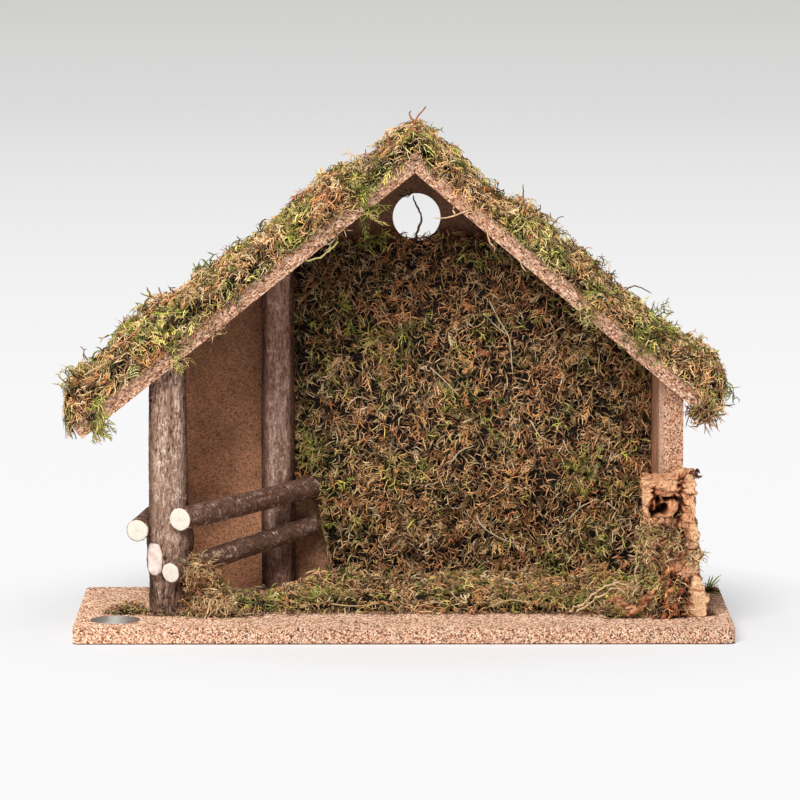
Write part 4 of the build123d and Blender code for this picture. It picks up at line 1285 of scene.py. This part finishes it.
# Tufts as place, direction, spread, count, lengths, tints, shapes and looseness
LEFT_ROOF_TUFTS = [
    ((-201, -40, 158), (-1, -0.2, 0.5), (4, 3, 3), 9, (10, 15), "pale_green olive", SPRIGS, 0.3),
    ((-201, -40, 152), (-1, -0.2, -0.2), (4, 3, 3), 9, (10, 15), "pale_green rust", CURLS, 0.3),
    ((-186, -40, 168), (-0.4, -0.2, 1), (4, 4, 2), 8, (8, 13), "green lime", SPRIGS, 0.3),
    ((-190, -43, 134), (0.6, -0.1, -0.8), (3, 2, 3), 14, (14, 20), "lime olive", SPRIGS, 0.2),
    ((-187, -43, 130), (0.6, -0.1, -0.8), (4, 2, 3), 9, (9, 14), "lime olive", COMBS, 0.2),
    ((-201, -41, 133), (0.1, -0.2, -1), (3, 3, 6), 14, (5, 9), "tan rust straw", CURLS, 0.5),
    ((-137, -43, 176), (0.1, -0.7, 0.5), (9, 2, 8), 44, (6, 10), "lime pale_green", CURLS, 0.7),
    ((-136, -43, 170), (0.2, -0.5, -0.6), (6, 2, 5), 16, (7, 11), "lime straw", SPRIGS, 0.5),
    ((-134.5, -43, 163), (0.2, -0.3, -1), (7, 2, 4), 22, (7, 11), "tan rust olive", CURLS, 0.4),
    ((-170, -38, 184), (-0.4, -0.3, 1), (6, 4, 3), 24, (6, 9), "dark rust", CURLS, 0.6),
    ((-104, -38, 234), (-0.4, -0.3, 0.8), (10, 6, 7), 60, (8, 14), "tan straw rust", CURLS, 0.7),
    ((-122, -40, 217), (-0.5, -0.3, 0.8), (6, 3, 4), 14, (9, 14), "olive green", SPRIGS, 0.3),
    ((-153, -40, 193), (-0.5, -0.3, 0.8), (9, 3, 6), 22, (8, 13), "green olive pale_green", SPRIGS, 0.4),
    ((-75, -41, 252), (-0.4, -0.4, 0.7), (9, 3, 6), 18, (9, 14), "green olive", COMBS, 0.5),
    ((-30, -41, 283), (-0.4, -0.4, 0.7), (10, 3, 6), 16, (8, 13), "green tan", SPRIGS, 0.5),
    ((-44, -43, 248), (0.0, -0.4, -0.8), (16, 2, 8), 26, (6, 11), "tan straw olive", CURLS, 0.5),
    ((-41, -38, 286), (-0.2, -0.3, 1), (1, 1, 1), 3, (8, 10), "rust cork", FLAKES, 0.3),
    ((-25, -42, 257.5), (1, -0.25, -0.3), (2.5, 1, 1.5), 4, (13, 18), "green olive", COMBS, 0.2),
    ((-24, -42, 256.5), (1, -0.3, -0.2), (3, 1, 1.5), 6, (10, 15), "green olive", SPRIGS, 0.25),
    ((-117, -43, 189), (0.3, -0.5, -0.6), (14, 2, 8), 60, (5, 9), "tan rust straw", CURLS, 0.7),
    ((-174, 60, 178), (-0.3, -0.1, 1), (6, 8, 2), 50, (8, 12), "dark rust", CURLS, 0.6),
    ((-163, 60, 188), (-0.5, 0, 0.9), (4, 6, 2), 14, (11, 16), "green olive", SPRIGS, 0.25),
    ((-122, 60, 214), (-0.5, 0, 0.9), (4, 8, 2), 14, (12, 18), "olive green", SPRIGS, 0.3),
    ((-109, 60, 226), (-0.2, 0, 1), (6, 8, 3), 54, (9, 13), "tan rust dark", CURLS, 0.7),
    ((-205, 30, 146), (-1, 0, 0.5), (3, 20, 3), 10, (10, 14), "pale_green olive", SPRIGS, 0.3),
    ((4, 22, 300), (0.5, 0, 0.2), (5, 60, 3), 170, (6, 11), "tan olive green rust", CURLS, 0.7),
]
RIGHT_ROOF_TUFTS = [
    ((73, -39, 255), (0.3, -0.1, 1), (4, 3, 2), 8, (9, 13), "dark olive", CURLS, 0.3),
    ((91, -40, 244), (0.5, -0.2, 0.8), (4, 3, 3), 8, (8, 12), "olive tan", SPRIGS, 0.3),
    ((113, -40, 226), (0.5, -0.3, 0.9), (8, 4, 4), 28, (7, 11), "dark olive green", SPRIGS, 0.6),
    ((150, -42, 196), (0.5, -0.5, 0.5), (10, 3, 8), 26, (8, 13), "green olive lime", SPRIGS, 0.6),
    ((183, -42, 141), (0.3, -0.3, -0.9), (8, 3, 6), 40, (9, 15), "olive tan green", SPRIGS, 0.5),
    ((188, -42, 148), (0.8, -0.3, 0.2), (6, 4, 10), 26, (8, 13), "tan olive straw", CURLS, 0.6),
    ((186, -42, 137), (0.2, -0.2, -1), (4, 2, 3), 26, (13, 21), "dark rust tan", CURLS, 0.25),
    ((112, -43, 198), (0.1, -0.6, -0.4), (10, 2, 8), 80, (6, 10), "lime pale_green straw olive", CURLS, 0.8),
    ((93, -43, 222), (0.3, -0.6, -0.3), (10, 2, 6), 34, (5, 9), "straw tan", CURLS, 0.8),
    ((146, -43, 178), (0.5, -0.5, -0.2), (12, 2, 6), 36, (7, 12), "green olive", SPRIGS, 0.6),
    ((72, 60, 257), (0.0, 0, 1), (5, 6, 2), 24, (6, 10), "dark rust tan", CURLS, 0.6),
    ((91, 60, 242), (0.6, 0, 0.7), (4, 6, 2), 14, (8, 12), "olive straw tan", CURLS, 0.35),
    ((113, 60, 228), (0.4, 0, 0.9), (7, 8, 3), 46, (9, 13), "olive green rust dark", SPRIGS, 0.5),
    ((168, 60, 181), (0.8, 0, 0.5), (6, 8, 3), 18, (9, 14), "green olive", COMBS, 0.3),
    ((188, 10, 168), (0.9, 0, 0.2), (4, 20, 3), 16, (9, 14), "rust tan dark", CURLS, 0.3),
    ((190, -38, 165), (0.8, -0.2, 0.4), (3, 5, 5), 14, (8, 13), "green olive", SPRIGS, 0.4),
    ((193, -40, 152), (1, -0.1, 0.1), (2, 3, 3), 6, (12, 17), "green", SPRIGS, 0.2),
    ((177, -41, 138), (-0.2, -0.3, -0.9), (5, 3, 3), 30, (7, 11), "green dark olive", SPRIGS, 0.4),
    ((187, -41, 132), (0.0, -0.2, -1), (3, 2, 2), 22, (11, 17), "dark rust tan", CURLS, 0.4),
    ((14, 22, 298), (-0.4, 0, 0.5), (6, 60, 3), 240, (6, 11), "tan olive rust green", CURLS, 0.7),
]
POST_TUFTS = [
    ((-118, -30, 12), (0.0, -0.2, 1), (12, 9, 2), 170, (12, 22), "straw tan rust", THREADS, 0.5),
    ((-112, -36, 11), (0.0, -0.1, 1), (7, 4, 1), 70, (18, 30), "straw tan", THREADS, 0.3),
    ((-117, -43, 44), (0.1, -0.3, -0.9), (14, 2, 5), 150, (11, 20), "straw tan rust", THREADS, 0.5),
    ((-118, -34, 30), (0.0, -0.4, 0.2), (11, 4, 12), 70, (9, 15), "tan straw rust", COMBS, 0.8),
    ((-117, -32, 20), (0.0, -0.3, 0.8), (13, 9, 9), 80, (10, 16), "tan straw rust", SPRIGS, 0.8),
    ((-121, -40, 42), (0.0, -0.6, -0.2), (13, 3, 8), 80, (7, 13), "tan straw rust", CURLS, 0.9),
    ((-120, -40, 41), (0.0, -0.6, -0.2), (12, 3, 8), 30, (8, 13), "tan olive straw", SPRIGS, 0.9),
    ((-131, -38, 42), (0.4, -0.5, 0.3), (5, 3, 6), 40, (7, 11), "olive green tan", CURLS, 0.9),
    ((-112, -36, 11), (-0.2, -0.6, 0.3), (18, 5, 1), 100, (5, 10), "tan rust olive", CURLS, 0.6),
    ((-97, -32, 11), (0.1, -0.6, 0.4), (14, 6, 1), 60, (6, 11), "tan olive rust", CURLS, 0.6),
    ((-167, -24, 10.5), (-0.5, -0.6, 0.1), (17, 9, 0.3), 150, (4, 9), "tan rust olive straw", CURLS, 0.6),
    ((-145, -33, 10.5), (0.1, -0.7, 0.2), (14, 2, 0.3), 90, (3, 7), "rust olive tan dark", CURLS, 0.6),
    ((-134, -31, 10.5), (0.3, -0.6, 0.5), (4, 3, 0.3), 24, (5, 9), "olive lime tan", SPRIGS, 0.6),
]
FLOOR_TUFTS = [
    ((-79, -12, 15), (0, -0.3, 1), (8, 6, 3), 30, (8, 13), "green lime", SPRIGS, 0.5),
    ((-54, -16, 15), (0.1, -0.3, 1), (14, 8, 3), 50, (8, 15), "green lime olive tan", SPRIGS, 0.6),
    ((-50, -12, 16), (0.2, -0.3, 1), (16, 8, 3), 40, (16, 25), "lime olive green", THREADS, 0.4),
    ((-65, -10, 18), (0.5, -0.2, 0.4), (4, 3, 3), 5, (12, 18), "rust", CURLS, 0.2),
    ((80, -24, 16), (0, -0.3, 1), (30, 6, 3), 70, (8, 14), "green olive tan", SPRIGS, 0.6),
    ((45, 48, 20), (0, -0.5, 0.9), (95, 10, 5), 190, (9, 16), "tan olive rust green", SPRIGS, 0.7),
    ((40, 15, 18), (0, -0.4, 0.9), (100, 22, 3), 150, (8, 15), "tan olive green rust", SPRIGS, 0.7),
    ((128, -22, 14), (0, -0.4, 0.8), (14, 14, 4), 150, (7, 13), "tan rust straw", CURLS, 0.8),
    ((128, -14, 20), (0, -0.4, 0.8), (14, 14, 8), 90, (8, 14), "tan olive green", SPRIGS, 0.8),
    ((134, -8, 30), (0, -0.5, 0.8), (12, 16, 12), 110, (8, 14), "tan olive straw", SPRIGS, 0.8),
    ((132, -38, 12), (0, -0.6, 0.5), (9, 5, 2), 60, (7, 12), "green olive dark", SPRIGS, 0.6),
    ((134, -40, 13), (0, -0.6, 0.4), (9, 4, 2), 60, (6, 11), "dark rust olive", CURLS, 0.7),
]
CORK_TUFTS = [
    ((158, -41, 53), (0, -0.7, 0.3), (17, 3, 9), 130, (6, 12), "tan rust straw", CURLS, 0.9),
    ((158, -41, 52), (0, -0.7, 0.3), (17, 3, 9), 70, (7, 12), "rust tan straw olive", SPRIGS, 0.9),
    ((161, -38, 63), (0, -0.7, 0.4), (11, 4, 8), 110, (6, 11), "tan olive dark", CURLS, 0.9),
    ((176, -41, 47), (0.3, -0.6, 0.1), (11, 2, 4), 30, (6, 11), "tan olive straw", CURLS, 0.9),
    ((147, -41, 57), (-0.1, -0.7, 0.1), (8, 3, 14), 130, (6, 11), "straw tan rust", CURLS, 0.9),
    ((147, -41, 52), (-0.1, -0.7, 0.1), (9, 3, 14), 60, (7, 12), "tan straw olive", SPRIGS, 0.9),
    ((150, -42, 36), (-0.2, -0.7, 0.3), (13, 3, 10), 130, (7, 12), "olive tan straw rust", CURLS, 0.9),
    ((152, -42, 30), (0, -0.7, 0.2), (13, 3, 10), 70, (7, 12), "green olive lime", SPRIGS, 0.9),
    ((154, -42, 14), (0, -0.6, 0.3), (15, 2, 3), 80, (5, 9), "green rust olive", CURLS, 0.7),
    ((166, -42, 24), (0, -0.4, 0.8), (8, 3, 14), 60, (7, 13), "cork deep_cork dark", FLAKES, 0.5),
    ((166, -43, 22), (0, -0.4, 0.6), (8, 3, 14), 40, (7, 12), "rust cork deep_cork", CURLS, 0.6),
    ((178, -30, 98), (0.5, -0.2, 0.3), (4, 4, 1), 9, (4, 7), "dark deep_cork", FLAKES, 0.6),
    ((191, 60, 10.3), (0.4, -0.2, 1), (3, 4, 0.3), 10, (13, 20), "leaf lime", CURLS, 0.25),
    ((193, 66, 10.3), (0.1, -0.2, 0.7), (6, 6, 0.3), 50, (4, 8), "olive tan rust", CURLS, 0.8),
    ((188, -32, 10.3), (0.2, -0.3, 0.5), (3, 6, 0.3), 24, (4, 8), "olive rust", CURLS, 0.7),
]
WALL_TUFTS = [
    ((-5, 72, 233), (0.5, -0.3, 0.9), (4, 2, 3), 30, (9, 13), "olive tan dark", CURLS, 0.5),
    ((22, 72, 234), (-0.4, -0.3, 0.9), (4, 2, 3), 30, (9, 13), "olive tan dark", CURLS, 0.5),
    ((9, 72, 229), (0, -0.3, 1), (14, 2, 2), 40, (7, 11), "tan rust dark", CURLS, 0.5),
    ((6, 79.5, 259), (-0.5, -0.2, -0.6), (1, 0.3, 0.5), 4, (8, 11), "olive green", CURLS, 0.2),
    ((-14, 66, 236), (-0.6, -0.5, 0.8), (6, 3, 3), 20, (9, 14), "green lime", SPRIGS, 0.4),
    ((-57, 66, 100), (-0.3, -0.5, 0.3), (6, 3, 14), 60, (8, 14), "green olive", SPRIGS, 0.7),
    ((112, 60, 86), (0.2, -0.6, 0.2), (12, 3, 14), 60, (8, 15), "green lime olive", COMBS, 0.7),
    ((-8, 62, 160), (0.2, -0.6, 0.2), (22, 3, 22), 60, (8, 13), "green olive", SPRIGS, 0.8),
    ((152, 40, 150), (0.2, -0.8, 0.1), (6, 16, 26), 70, (7, 12), "tan rust olive", CURLS, 0.8),
    ((-60, 79.5, 58), (0.1, -0.5, 0.2), (7, 0.3, 26), 110, (5, 10), "dark rust olive", CURLS, 0.9),
    ((-57, 79.5, 36), (0.0, -0.4, 0.3), (6, 0.3, 14), 70, (6, 11), "dark olive tan", CURLS, 0.9),
]
POST_CARRIERS = ("front_post_moss", "base_board", "lower_right_rail", "front_left_post")
FLOOR_CARRIERS = ("floor_moss", "base_board", "back_wall_moss")
CORK_CARRIERS = ("cork_moss", "cork_block", "base_board", "floor_moss")
WALL_CARRIERS = ("back_wall_moss", "back_panel")
for label, rows, seed in (("left_roof", LEFT_ROOF_TUFTS, 501), ("right_roof", RIGHT_ROOF_TUFTS, 511)):
    carriers = (label + "_moss_mat", label + "_board")
    tufts(label + "_tufts", label + "_moss", carriers, rows, seed, free_keep)
tufts("post_moss_tufts", "front_post_moss", POST_CARRIERS, POST_TUFTS, 541, ground_keep)
tufts("floor_moss_tufts", "floor_moss", FLOOR_CARRIERS, FLOOR_TUFTS, 561, ground_keep, edge_crumbs(420))
tufts("cork_moss_tufts", "cork_moss", CORK_CARRIERS, CORK_TUFTS, 571, ground_keep)
tufts("wall_moss_tufts", "back_wall_moss", WALL_CARRIERS, WALL_TUFTS, 581, wall_keep)


def stems(name, node, thickness, kinks, tone, paths):
    """Thin dry stems along given places, with small kinks."""
    tubes = []
    for path in paths:
        stops = np.linspace(0, 1, len(path))
        share = np.linspace(0, 1, 4 * len(path) - 3)
        smooth = np.column_stack([np.interp(share, stops, run) for run in np.array(path, float).T])
        smooth[1:-1] = (smooth[:-2] + 2 * smooth[1:-1] + smooth[2:]) / 4
        kink = [noise(smooth * 1.7, 3.0, 601 + axis) for axis in range(3)]
        smooth = smooth + kinks * np.column_stack(kink)
        radii = thickness * (1 - 0.45 * share) * (1 + 0.3 * noise(smooth, 2.2, 605))
        tubes.append(tube(smooth, radii))
    points, faces, flat, _ = joined(tubes)
    columns = np.repeat(np.arange(len(tubes)), [len(made[1]) for made in tubes])
    flat[:, :, 0] = (columns[:, None] + 0.08 + 0.84 * flat[:, :, 0]) / len(tubes)
    colours = np.tile(palette(tone), (len(points), 1))
    piece(name, (node,), points, faces, (moss_material,), colours=colours, flat=flat * (1, 0.97))


# Paths of dry stems and twigs
WALL_STEMS = (
    ((54, 62, 194), (60, 60, 182), (67, 60, 171), (69, 59, 144)),
    ((50, 62, 186), (58, 60, 178), (66, 60, 172)),
    ((17, 61, 152), (26, 59, 144), (37, 60, 132.5)),
    (
        *((46.2, 60, 57.6), (49, 58, 52.5), (53.4, 57, 48.9)),
        *((60.6, 57, 44.5), (68, 57.5, 41.8), (75.1, 60, 40.1)),
    ),
    ((100.5, 60, 106), (103, 59, 100), (105.5, 60, 97)),
    ((104, 58, 56), (111, 57, 64), (121, 57, 69), (124, 58, 68)),
    ((128, 57, 67), (133, 57, 63), (137, 58, 60)),
    ((-35, 62, 128), (-28, 60, 134), (-20, 61, 131)),
    ((30, 60, 92), (36, 58, 100), (46, 59, 103)),
    ((80, 62, 118), (86, 60, 108), (95, 60, 104)),
)
FLOOR_ROOTS = (
    ((107, -36, 15), (112, -37, 20), (119, -38, 26), (127, -38, 31), (134, -38, 26), (139, -39, 21)),
    ((140, -38, 23), (143, -38, 28), (141, -38, 35), (143, -37, 44)),
    ((101, -34, 13), (107, -36, 17), (114, -37, 19)),
    ((128, -38, 31), (134, -39, 31), (140, -39, 27)),
    ((104, -36, 12), (112, -38, 16), (120, -38.5, 23), (128, -38, 28), (133, -38, 25)),
)
FLOOR_STRAWS = (
    ((-101, -60, 10.7), (-96, -60.5, 11.0), (-90, -60, 10.8)),
    ((-70, -18, 23), (-63, -20, 19), (-56, -22, 14)),
    ((-44, -26, 16), (-30, -29, 15), (-12, -27, 17)),
    ((8, -28, 15), (20, -30, 18), (31, -28, 15)),
    ((52, -30, 15), (66, -32, 20), (82, -30, 16)),
)
RIDGE_TWIGS = (
    ((4, -38, 304), (6, -38.5, 311), (9.2, -39, 317.3), (11.5, -39.5, 319.5), (13.5, -39, 322.1)),
    ((6, -39, 313), (4.4, -39, 315), (3.2, -39.2, 317.5), (4.6, -39, 319.5)),
    ((-8.5, -37, 298), (-9.5, -38, 302.8), (-11, -38, 307.5)),
)
LEFT_FRONT_TWIGS = (
    ((-39.7, -41, 260.2), (-31, -42.5, 259.5), (-22.2, -42.5, 257.8), (-14, -42, 255)),
    ((-194, -42.5, 159), (-182, -43, 166), (-170, -42.5, 172)),
)
HANGING_STRAND = (
    ((-40, -40.6, 240), (-45, -42, 234.5), (-49.4, -42.4, 231.1), (-55, -42, 229.4), (-61, -40.6, 229)),
)
FRONT_FERN = (
    ((-168.6, -41, 156.8), (-167.7, -43, 160.3), (-166.6, -43.4, 163.8)),
    ((-167.4, -43, 161.5), (-164.5, -44, 166.2), (-161.4, -43.4, 165.5)),
    ((-166.8, -42, 161.8), (-162.4, -44, 164.8), (-159.3, -43.4, 163.8)),
    ((-167.2, -42, 160.0), (-162.1, -44, 163.1), (-158.4, -43.4, 161.8)),
    ((-167.6, -42, 158.4), (-161.7, -44, 161.3), (-158.1, -43.4, 159.6)),
    ((-168.0, -42, 157.0), (-161.7, -44, 159.6), (-158.6, -43.4, 157.5)),
)
LEFT_TOP_TWIGS = (
    ((-136, 60, 195), (-145, 60, 196.5), (-151.8, 60, 196.2), (-158, 60, 197), (-164.3, 60, 198.8)),
    ((-150, 60, 196.3), (-152.5, 60, 199.5), (-152, 60, 203)),
    ((-157, 60, 196.8), (-160, 60, 200.5), (-159.5, 60, 203)),
    ((-143, 60, 196), (-146, 60, 199.5)),
)
RIGHT_TOP_TWIGS = (
    ((75.4, 60, 254), (74.8, 60, 261), (75.2, 60, 267.4)),
    ((138, 60, 201), (145, 60, 203.5), (150, 60, 202), (155.7, 60, 198)),
    ((91, 60, 236), (94, 60, 243), (97, 60, 246.2), (100.4, 60, 247)),
)
RIGHT_FRONT_TWIGS = (
    ((44, -40.5, 261.5), (37, -42, 258.6), (31, -43, 256.2), (24, -43.5, 254.6), (17.7, -43.5, 254.7)),
    ((31, -43, 256.2), (29.5, -43.3, 259.5), (30.5, -43.3, 262)),
    ((50.3, -40.6, 246), (52, -42, 239.5), (55.5, -42.3, 237), (54.6, -42, 233.5)),
    ((70, -40.6, 229), (72, -42, 224), (75, -42, 222)),
)
HOLE_TWIGS = (
    ((8.5, 74, 226), (8.5, 74, 234.6), (12, 74, 244), (10.8, 74, 248.4), (8.3, 75, 252.8), (6.4, 78, 259)),
)
# Stems as name, node, thickness, size of the kinks, tone and paths
STEMS = (
    ("wall_stems", "back_wall_moss", 0.55, 0.15, (232, 212, 178), WALL_STEMS),
    ("floor_roots", "floor_moss", 1.15, 1.3, (222, 190, 146), FLOOR_ROOTS),
    ("floor_straws", "floor_moss", 0.6, 0.15, (216, 184, 138), FLOOR_STRAWS),
    ("ridge_twigs", "left_roof_moss", 0.8, 0.15, (172, 108, 70), RIDGE_TWIGS),
    ("left_front_twigs", "left_roof_moss", 0.6, 0.15, (222, 188, 148), LEFT_FRONT_TWIGS),
    ("hanging_strand", "left_roof_moss", 0.8, 1.0, (186, 174, 112), HANGING_STRAND),
    ("front_fern", "left_roof_moss", 0.6, 0.1, (206, 204, 136), FRONT_FERN),
    ("top_twigs", "left_roof_moss", 0.7, 0.6, (150, 112, 74), LEFT_TOP_TWIGS),
    ("right_top_twigs", "right_roof_moss", 0.6, 0.4, (138, 104, 72), RIGHT_TOP_TWIGS),
    ("right_front_twigs", "right_roof_moss", 0.65, 0.4, (218, 178, 138), RIGHT_FRONT_TWIGS),
    ("hole_twigs", "back_wall_moss", 0.95, 0.5, (126, 94, 64), HOLE_TWIGS),
)
for row in STEMS:
    stems(*row)

# Floor, light and camera in metres
FLOOR_RADIUS = 14.0
FLOOR_CORNERS = 96
FADE_REACH = 9.0
FLOOR_WHITE = srgb(250, 250, 251)
AIM = (0, 0, 0.12)
LAMP_SIZE = 1.6
CAMERA_PLACE = (-0.0148, -3.1739, 0.5251)
CAMERA_TILT = math.radians(90 - 6.94)
CAMERA_TURN = math.radians(-0.23)
LENS = 234.0
SENSOR = 36.0


def floor_paper():
    """White that takes shadows near the object and, where it is seen, fades to grey far away."""
    made = Shader("floor", 0.9, 0.1)
    made.surface.inputs["Base Color"].default_value = FLOOR_WHITE
    reach = made.add("VectorMath", {0: made.places()}, operation="LENGTH")["Value"]
    reach = made.math("MULTIPLY", reach, 1 / FADE_REACH)
    fade = made.ramp(
        reach,
        (0.0, FLOOR_WHITE),
        (0.13, srgb(248, 248, 249)),
        (0.24, srgb(242, 242, 242)),
        (0.35, srgb(234, 234, 234)),
        (0.56, srgb(219, 219, 219)),
        (1.0, srgb(206, 205, 203)),
    )
    glow = made.add("Emission", {"Color": fade})[0]
    ray = made.add("LightPath", {})
    seen = made.math("MAXIMUM", ray["Is Camera Ray"], ray["Is Glossy Ray"])
    seen = made.math("MAXIMUM", seen, ray["Is Transmission Ray"])
    away = made.ramp(reach, (0.0155, 0.0), (0.034, 1.0))
    share = made.math("MULTIPLY", seen, away)
    surface = made.add("MixShader", {0: share, 1: made.surface.outputs[0], 2: glow})[0]
    made.tree.links.new(surface, made.tree.nodes["Material Output"].inputs["Surface"])
    return made.material


angles = turns(FLOOR_CORNERS)
floor_edge = FLOOR_RADIUS * np.column_stack((np.cos(angles), np.sin(angles), 0 * angles))
floor_mesh = bpy.data.meshes.new("floor")
floor_mesh.from_pydata(floor_edge.tolist(), [], [tuple(range(FLOOR_CORNERS))])
floor = bpy.data.objects.new("floor", floor_mesh)
bpy.context.scene.collection.objects.link(floor)
floor_mesh.materials.append(floor_paper())

world = bpy.data.worlds.new("world")
world.use_nodes = True
bpy.context.scene.world = world
backdrop = world.node_tree.nodes["Background"]
backdrop.inputs["Color"].default_value = (1, 1, 1, 1)
backdrop.inputs["Strength"].default_value = 0.21


def soft_lamp(name, place, power):
    """Square soft light that faces the object."""
    data = bpy.data.lights.new(name, "AREA")
    data.size = LAMP_SIZE
    data.energy = power
    lamp = bpy.data.objects.new(name, data)
    way = np.subtract(AIM, place)
    lamp.location = place
    tilt = math.atan2(math.hypot(way[0], way[1]), -way[2])
    lamp.rotation_euler = (tilt, 0, math.atan2(way[0], -way[1]) + math.pi)
    bpy.context.scene.collection.objects.link(lamp)


soft_lamp("key_light", (-1.0, -2.85, 2.15), 126)
soft_lamp("top_light", (0.0, -1.0, 2.8), 20)

camera_data = bpy.data.cameras.new("camera")
camera_data.sensor_width = SENSOR
camera_data.lens = LENS
camera_data.clip_end = 100.0
camera = bpy.data.objects.new("camera", camera_data)
camera.location = CAMERA_PLACE
camera.rotation_euler = (CAMERA_TILT, 0, CAMERA_TURN)
bpy.context.scene.collection.objects.link(camera)
bpy.context.scene.camera = camera
bpy.context.scene.view_settings.view_transform = "Standard"
